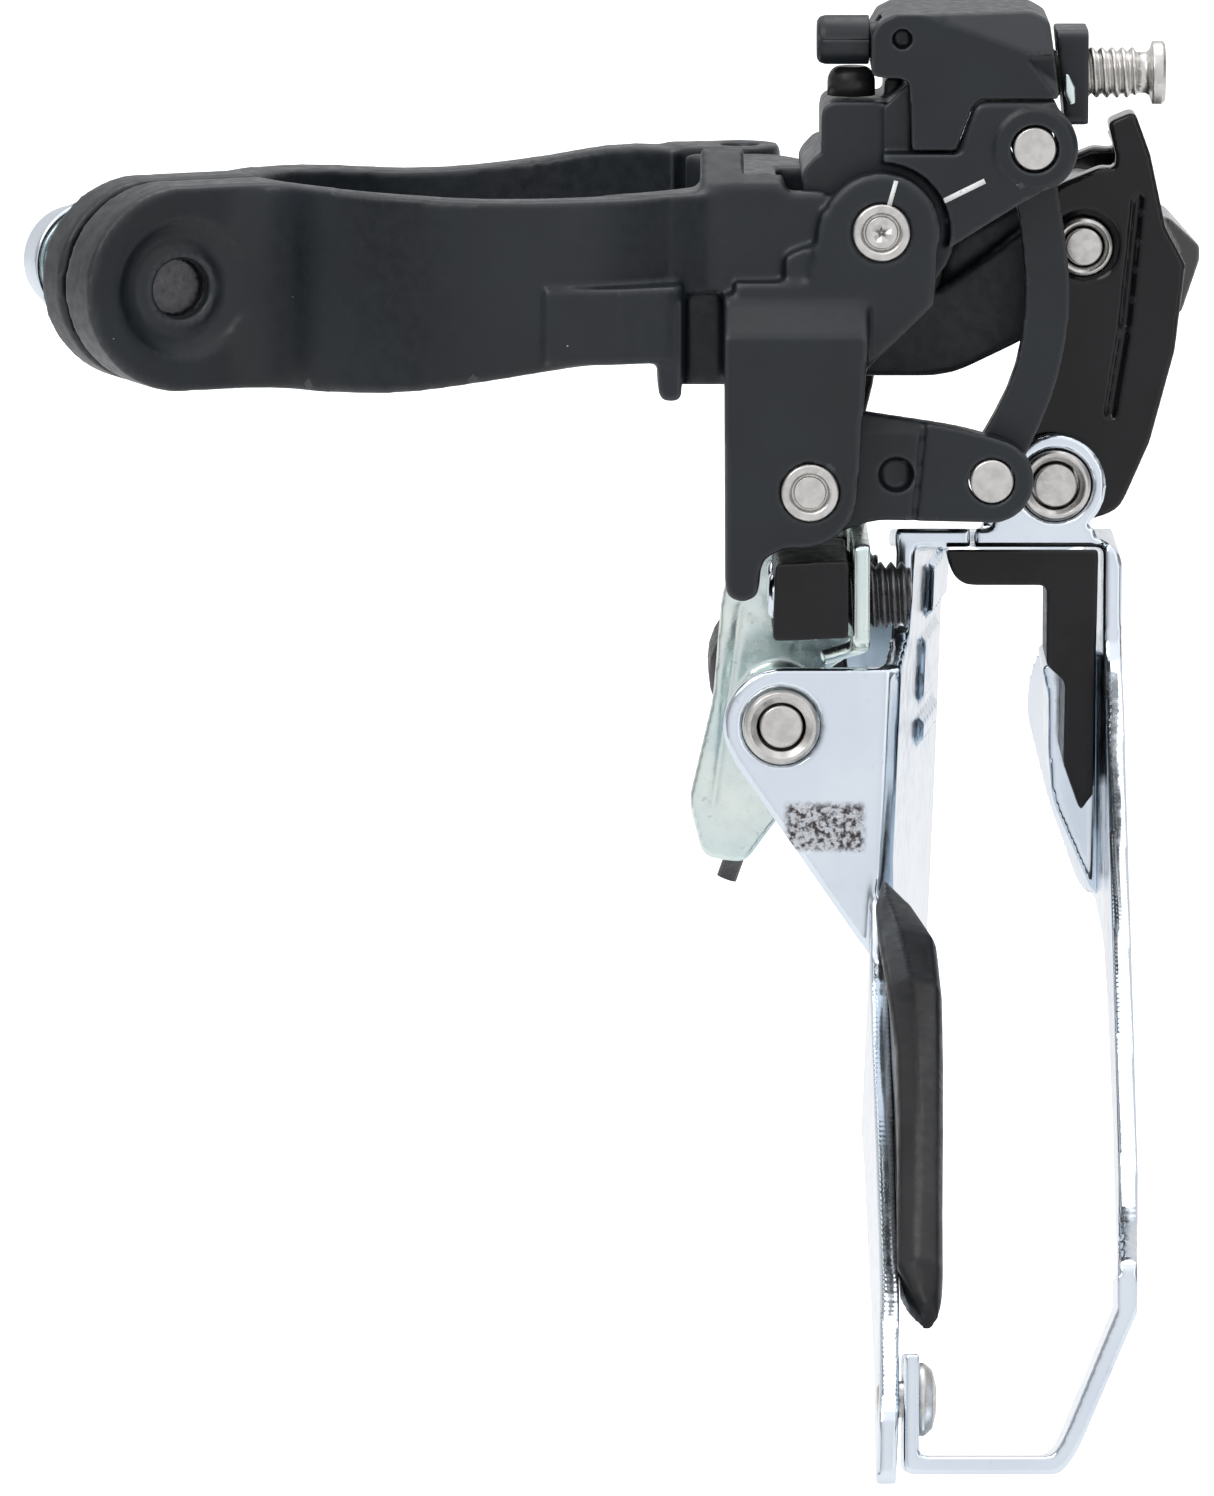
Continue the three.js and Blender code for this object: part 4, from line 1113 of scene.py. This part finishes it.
def inner_pad():
    """The skid pad: a long lens with a crease near the plate, thin at both ends."""
    side_x, tip = low("inner_skid_pad").x, high("inner_skid_pad")
    rings = []
    for y0, z0, y1, z1, inboard, crease, outboard in PAD_STATIONS:
        top = Vector((side_x, tip.y - y0, tip.z - z0))
        foot = Vector((side_x, tip.y - y1, tip.z - z1))
        down = (foot - top).normalized()
        length = (foot - top).length
        wall = min(max(inboard, 0.1), outboard - 0.2)
        section = [
            (inboard, 0.75), (inboard + 0.12, 0.15), (crease, -0.4), (outboard - 0.35, 0.15),
            (outboard, 0.9), (outboard, length - 0.8), (outboard - 0.5, length),
            (wall, length), (wall, 1.6),
        ]
        rings.append([top + down * min(along, length) + X_AXIS * x for x, along in section])
    mesh = settled(
        skin(rings),
        ("BEVEL", {"width": 0.25 * MM, "segments": 3, "angle_limit": 0.45}),
        ("REMESH", {"mode": "VOXEL", "voxel_size": 0.17 * MM}),
    )
    return stand_in(softened(mesh, 6), "inner_skid_pad_moulded", "inner_skid_pad")


def tail_rivet():
    """The rivet, with its low round head inside the cage."""
    start = inboard_end("tail_rivet")
    length = span_x("tail_rivet")
    radius = (high("tail_rivet").z - low("tail_rivet").z) / 2
    shank_r, head_start = 1.2, length - 1.15
    profile = [
        (0, 0), (0.8, 0.05), (shank_r, 0.35), (shank_r, head_start), (radius, head_start),
        (radius, length - 0.8), (radius * 0.8, length - 0.25), (radius * 0.4, length), (0, length),
    ]
    return stand_in(turned(start, X_AXIS, eased(profile, 0.15)), "tail_rivet_headed", "tail_rivet")


# ---- painted index marks: one on the bracket's boss, one on the arm ----
def index_mark(name, node, angle, start, end, width, rear):
    """A thin painted bar that points at the arm's pivot."""
    direction = Vector((math.cos(math.radians(angle)), 0, math.sin(math.radians(angle))))
    side = Vector((-direction.z, 0, direction.x)) * width / 2
    center = beside(ARM_PIVOT, 0, rear, 0)
    corners = [
        center + direction * reach + side * edge
        for reach, edge in ((start, -1), (end, -1), (end, 1), (start, 1))
    ]
    inside = [corner + Y_AXIS * 0.3 for corner in corners]
    return piece_from(skin([corners, inside]), name, BODY_OF[node], "white_mark")


bracket()
ear_thread()
band()
clamp_bolt()
clamp_washer()
band_hinge_pin()
staked_pin("arm_pivot_pin", punched=True)
staked_pin("inner_link_pin", punched=False)
for node in (
    "outer_link_pin", "toggle_upper_pin", "toggle_lower_pin", "cage_pin_inner", "cage_pin_outer"
):
    plain_pin(node)
for end in ("rear", "front"):
    bush("outer_link_bush_" + end, LINK_BUSH_BORE_R)
    bush("cage_bush_inner_" + end, CAGE_BUSH_BORE_R)
    bush("cage_bush_outer_" + end, CAGE_BUSH_BORE_R)
cable_bolt()
limit_screw("low_limit_screw")
limit_screw("high_limit_screw")
return_spring()
index_mark("boss_mark", "base_bracket", angle=74.5, start=1.95, end=3.7, width=0.3, rear=-15.43)
index_mark("arm_mark", "cable_arm", angle=26.3, start=4.8, end=7.9, width=0.36, rear=-14.83)
cable_arm()
anchor_block()
anchor_slider()
adjuster_cap()
clamp_tab()
crank_arm()
outer_link()
pivot_sleeve()
inner_link()
cage_inner_plate()
cage_outer_plate()
inner_pad()
tail_rivet()

for node, voxel, passes in (
    ("toggle_link", 0.16, 3),
    ("outer_skid_pad", 0.2, 4),
    ("screw_block", 0.15, 3),
    ("cable_washer_plate", 0.12, 3),
):
    stand_in(cast(node, voxel, passes), node + "_finished", node)

# the CAD nodes get the finishes of the pieces that stand for them
for node, piece in frame["nodes"].items():
    piece.data.materials.clear()
    piece.data.materials.append(FINISHES[SLOT_OF[node]])

# ---- stage: one pale sheet that curves up behind, and soft studio light ----
FLOOR_DROP = 0.09  # metres below the object's lowest point
LIGHT_AIM = Vector((0.01, 0, -0.02))  # metres


def backdrop():
    """A floor that curves up into a wall behind the object."""
    near, far, height, bend, half = -0.35, 1.6, 3.0, 1.0, 4.0  # metres
    floor = CAD_BOX[0][2] - FLOOR_DROP
    steps = 12
    outline = [(near, 0.0), (far, 0.0)]
    for i in range(1, steps + 1):
        angle = math.pi / 2 * i / steps
        outline.append((far + bend * math.sin(angle), bend * (1 - math.cos(angle))))
    outline.append((far + bend, height))
    points = [(x, y, z + floor) for y, z in outline for x in (-half, half)]
    faces = [[2 * i, 2 * i + 1, 2 * i + 3, 2 * i + 2] for i in range(len(outline) - 1)]
    mesh = bpy.data.meshes.new("backdrop")
    mesh.from_pydata(points, [], faces)
    made = bpy.data.objects.new("backdrop", mesh)
    bpy.context.scene.collection.objects.link(made)
    paper = Finish("backdrop_paper", 0.9)
    paper.colour(paper.mix(paper.noise(60.0), (0.5, 0.5, 0.5), (0.53, 0.53, 0.53)))
    seen = paper.node("ShaderNodeLightPath").outputs["Is Camera Ray"]
    glow = paper.window(seen, 0.0, 1.0, 0.3, 1.0)
    paper.shader.inputs["Emission Color"].default_value = (1, 1, 1, 1)
    paper.link(glow, paper.shader.inputs["Emission Strength"])
    mesh.materials.append(paper.material)


def softbox(name, place, size, power):
    """A square light that faces the object: place and size in metres, power in watts."""
    light = bpy.data.lights.new(name, "AREA")
    light.size = size
    light.energy = power
    made = bpy.data.objects.new(name, light)
    bpy.context.scene.collection.objects.link(made)
    made.location = place
    made.rotation_euler = (LIGHT_AIM - Vector(place)).to_track_quat("-Z", "Y").to_euler()


# brightness of the tent by direction: share of the way from inboard (0) to outboard (1), then value
TENT_ACROSS = [
    (0.0, 0.55), (0.08, 0.3), (0.2, 0.45), (0.36, 0.8), (0.5, 0.92), (0.66, 0.86), (0.76, 1.15),
    (0.81, 1.2), (0.85, 0.4), (0.9, 0.06), (0.96, 0.06), (1.0, 0.35),
]


def studio_world():
    """A soft tent for reflections, uneven across and bright overhead, and white to the camera."""
    world = bpy.data.worlds.new("studio")
    bpy.context.scene.world = world
    world.use_nodes = True
    tree = world.node_tree
    direction = tree.nodes.new("ShaderNodeTexCoord").outputs["Generated"]
    parts = tree.nodes.new("ShaderNodeSeparateXYZ")
    tree.links.new(direction, parts.inputs["Vector"])
    ramp = tree.nodes.new("ShaderNodeValToRGB")
    ramp.color_ramp.interpolation = "EASE"
    while len(ramp.color_ramp.elements) < len(TENT_ACROSS):
        ramp.color_ramp.elements.new(0.5)
    for element, (position, value) in zip(ramp.color_ramp.elements, TENT_ACROSS):
        element.position = position
        element.color = (value, value, value * 1.03, 1)
    tree.links.new(map_range(tree, parts.outputs["X"], -1, 1, 0, 1), ramp.inputs["Fac"])
    raised = map_range(tree, parts.outputs["Z"], 0.3, 0.75, 0, 1)
    overhead = mix_colours(tree, raised, ramp.outputs["Color"], (1.15, 1.15, 1.18))
    from_camera = tree.nodes.new("ShaderNodeLightPath").outputs["Is Camera Ray"]
    seen = mix_colours(tree, from_camera, overhead, (1, 1, 1))
    tree.links.new(seen, tree.nodes["Background"].inputs["Color"])


backdrop()
studio_world()
softbox("key", (-0.7, -0.9, 0.9), 0.8, 6)
softbox("fill", (1.0, -0.7, 0.3), 0.9, 0.6)
softbox("top", (0.1, 0.3, 1.2), 1.0, 6)
bpy.context.scene.view_settings.view_transform = "Standard"
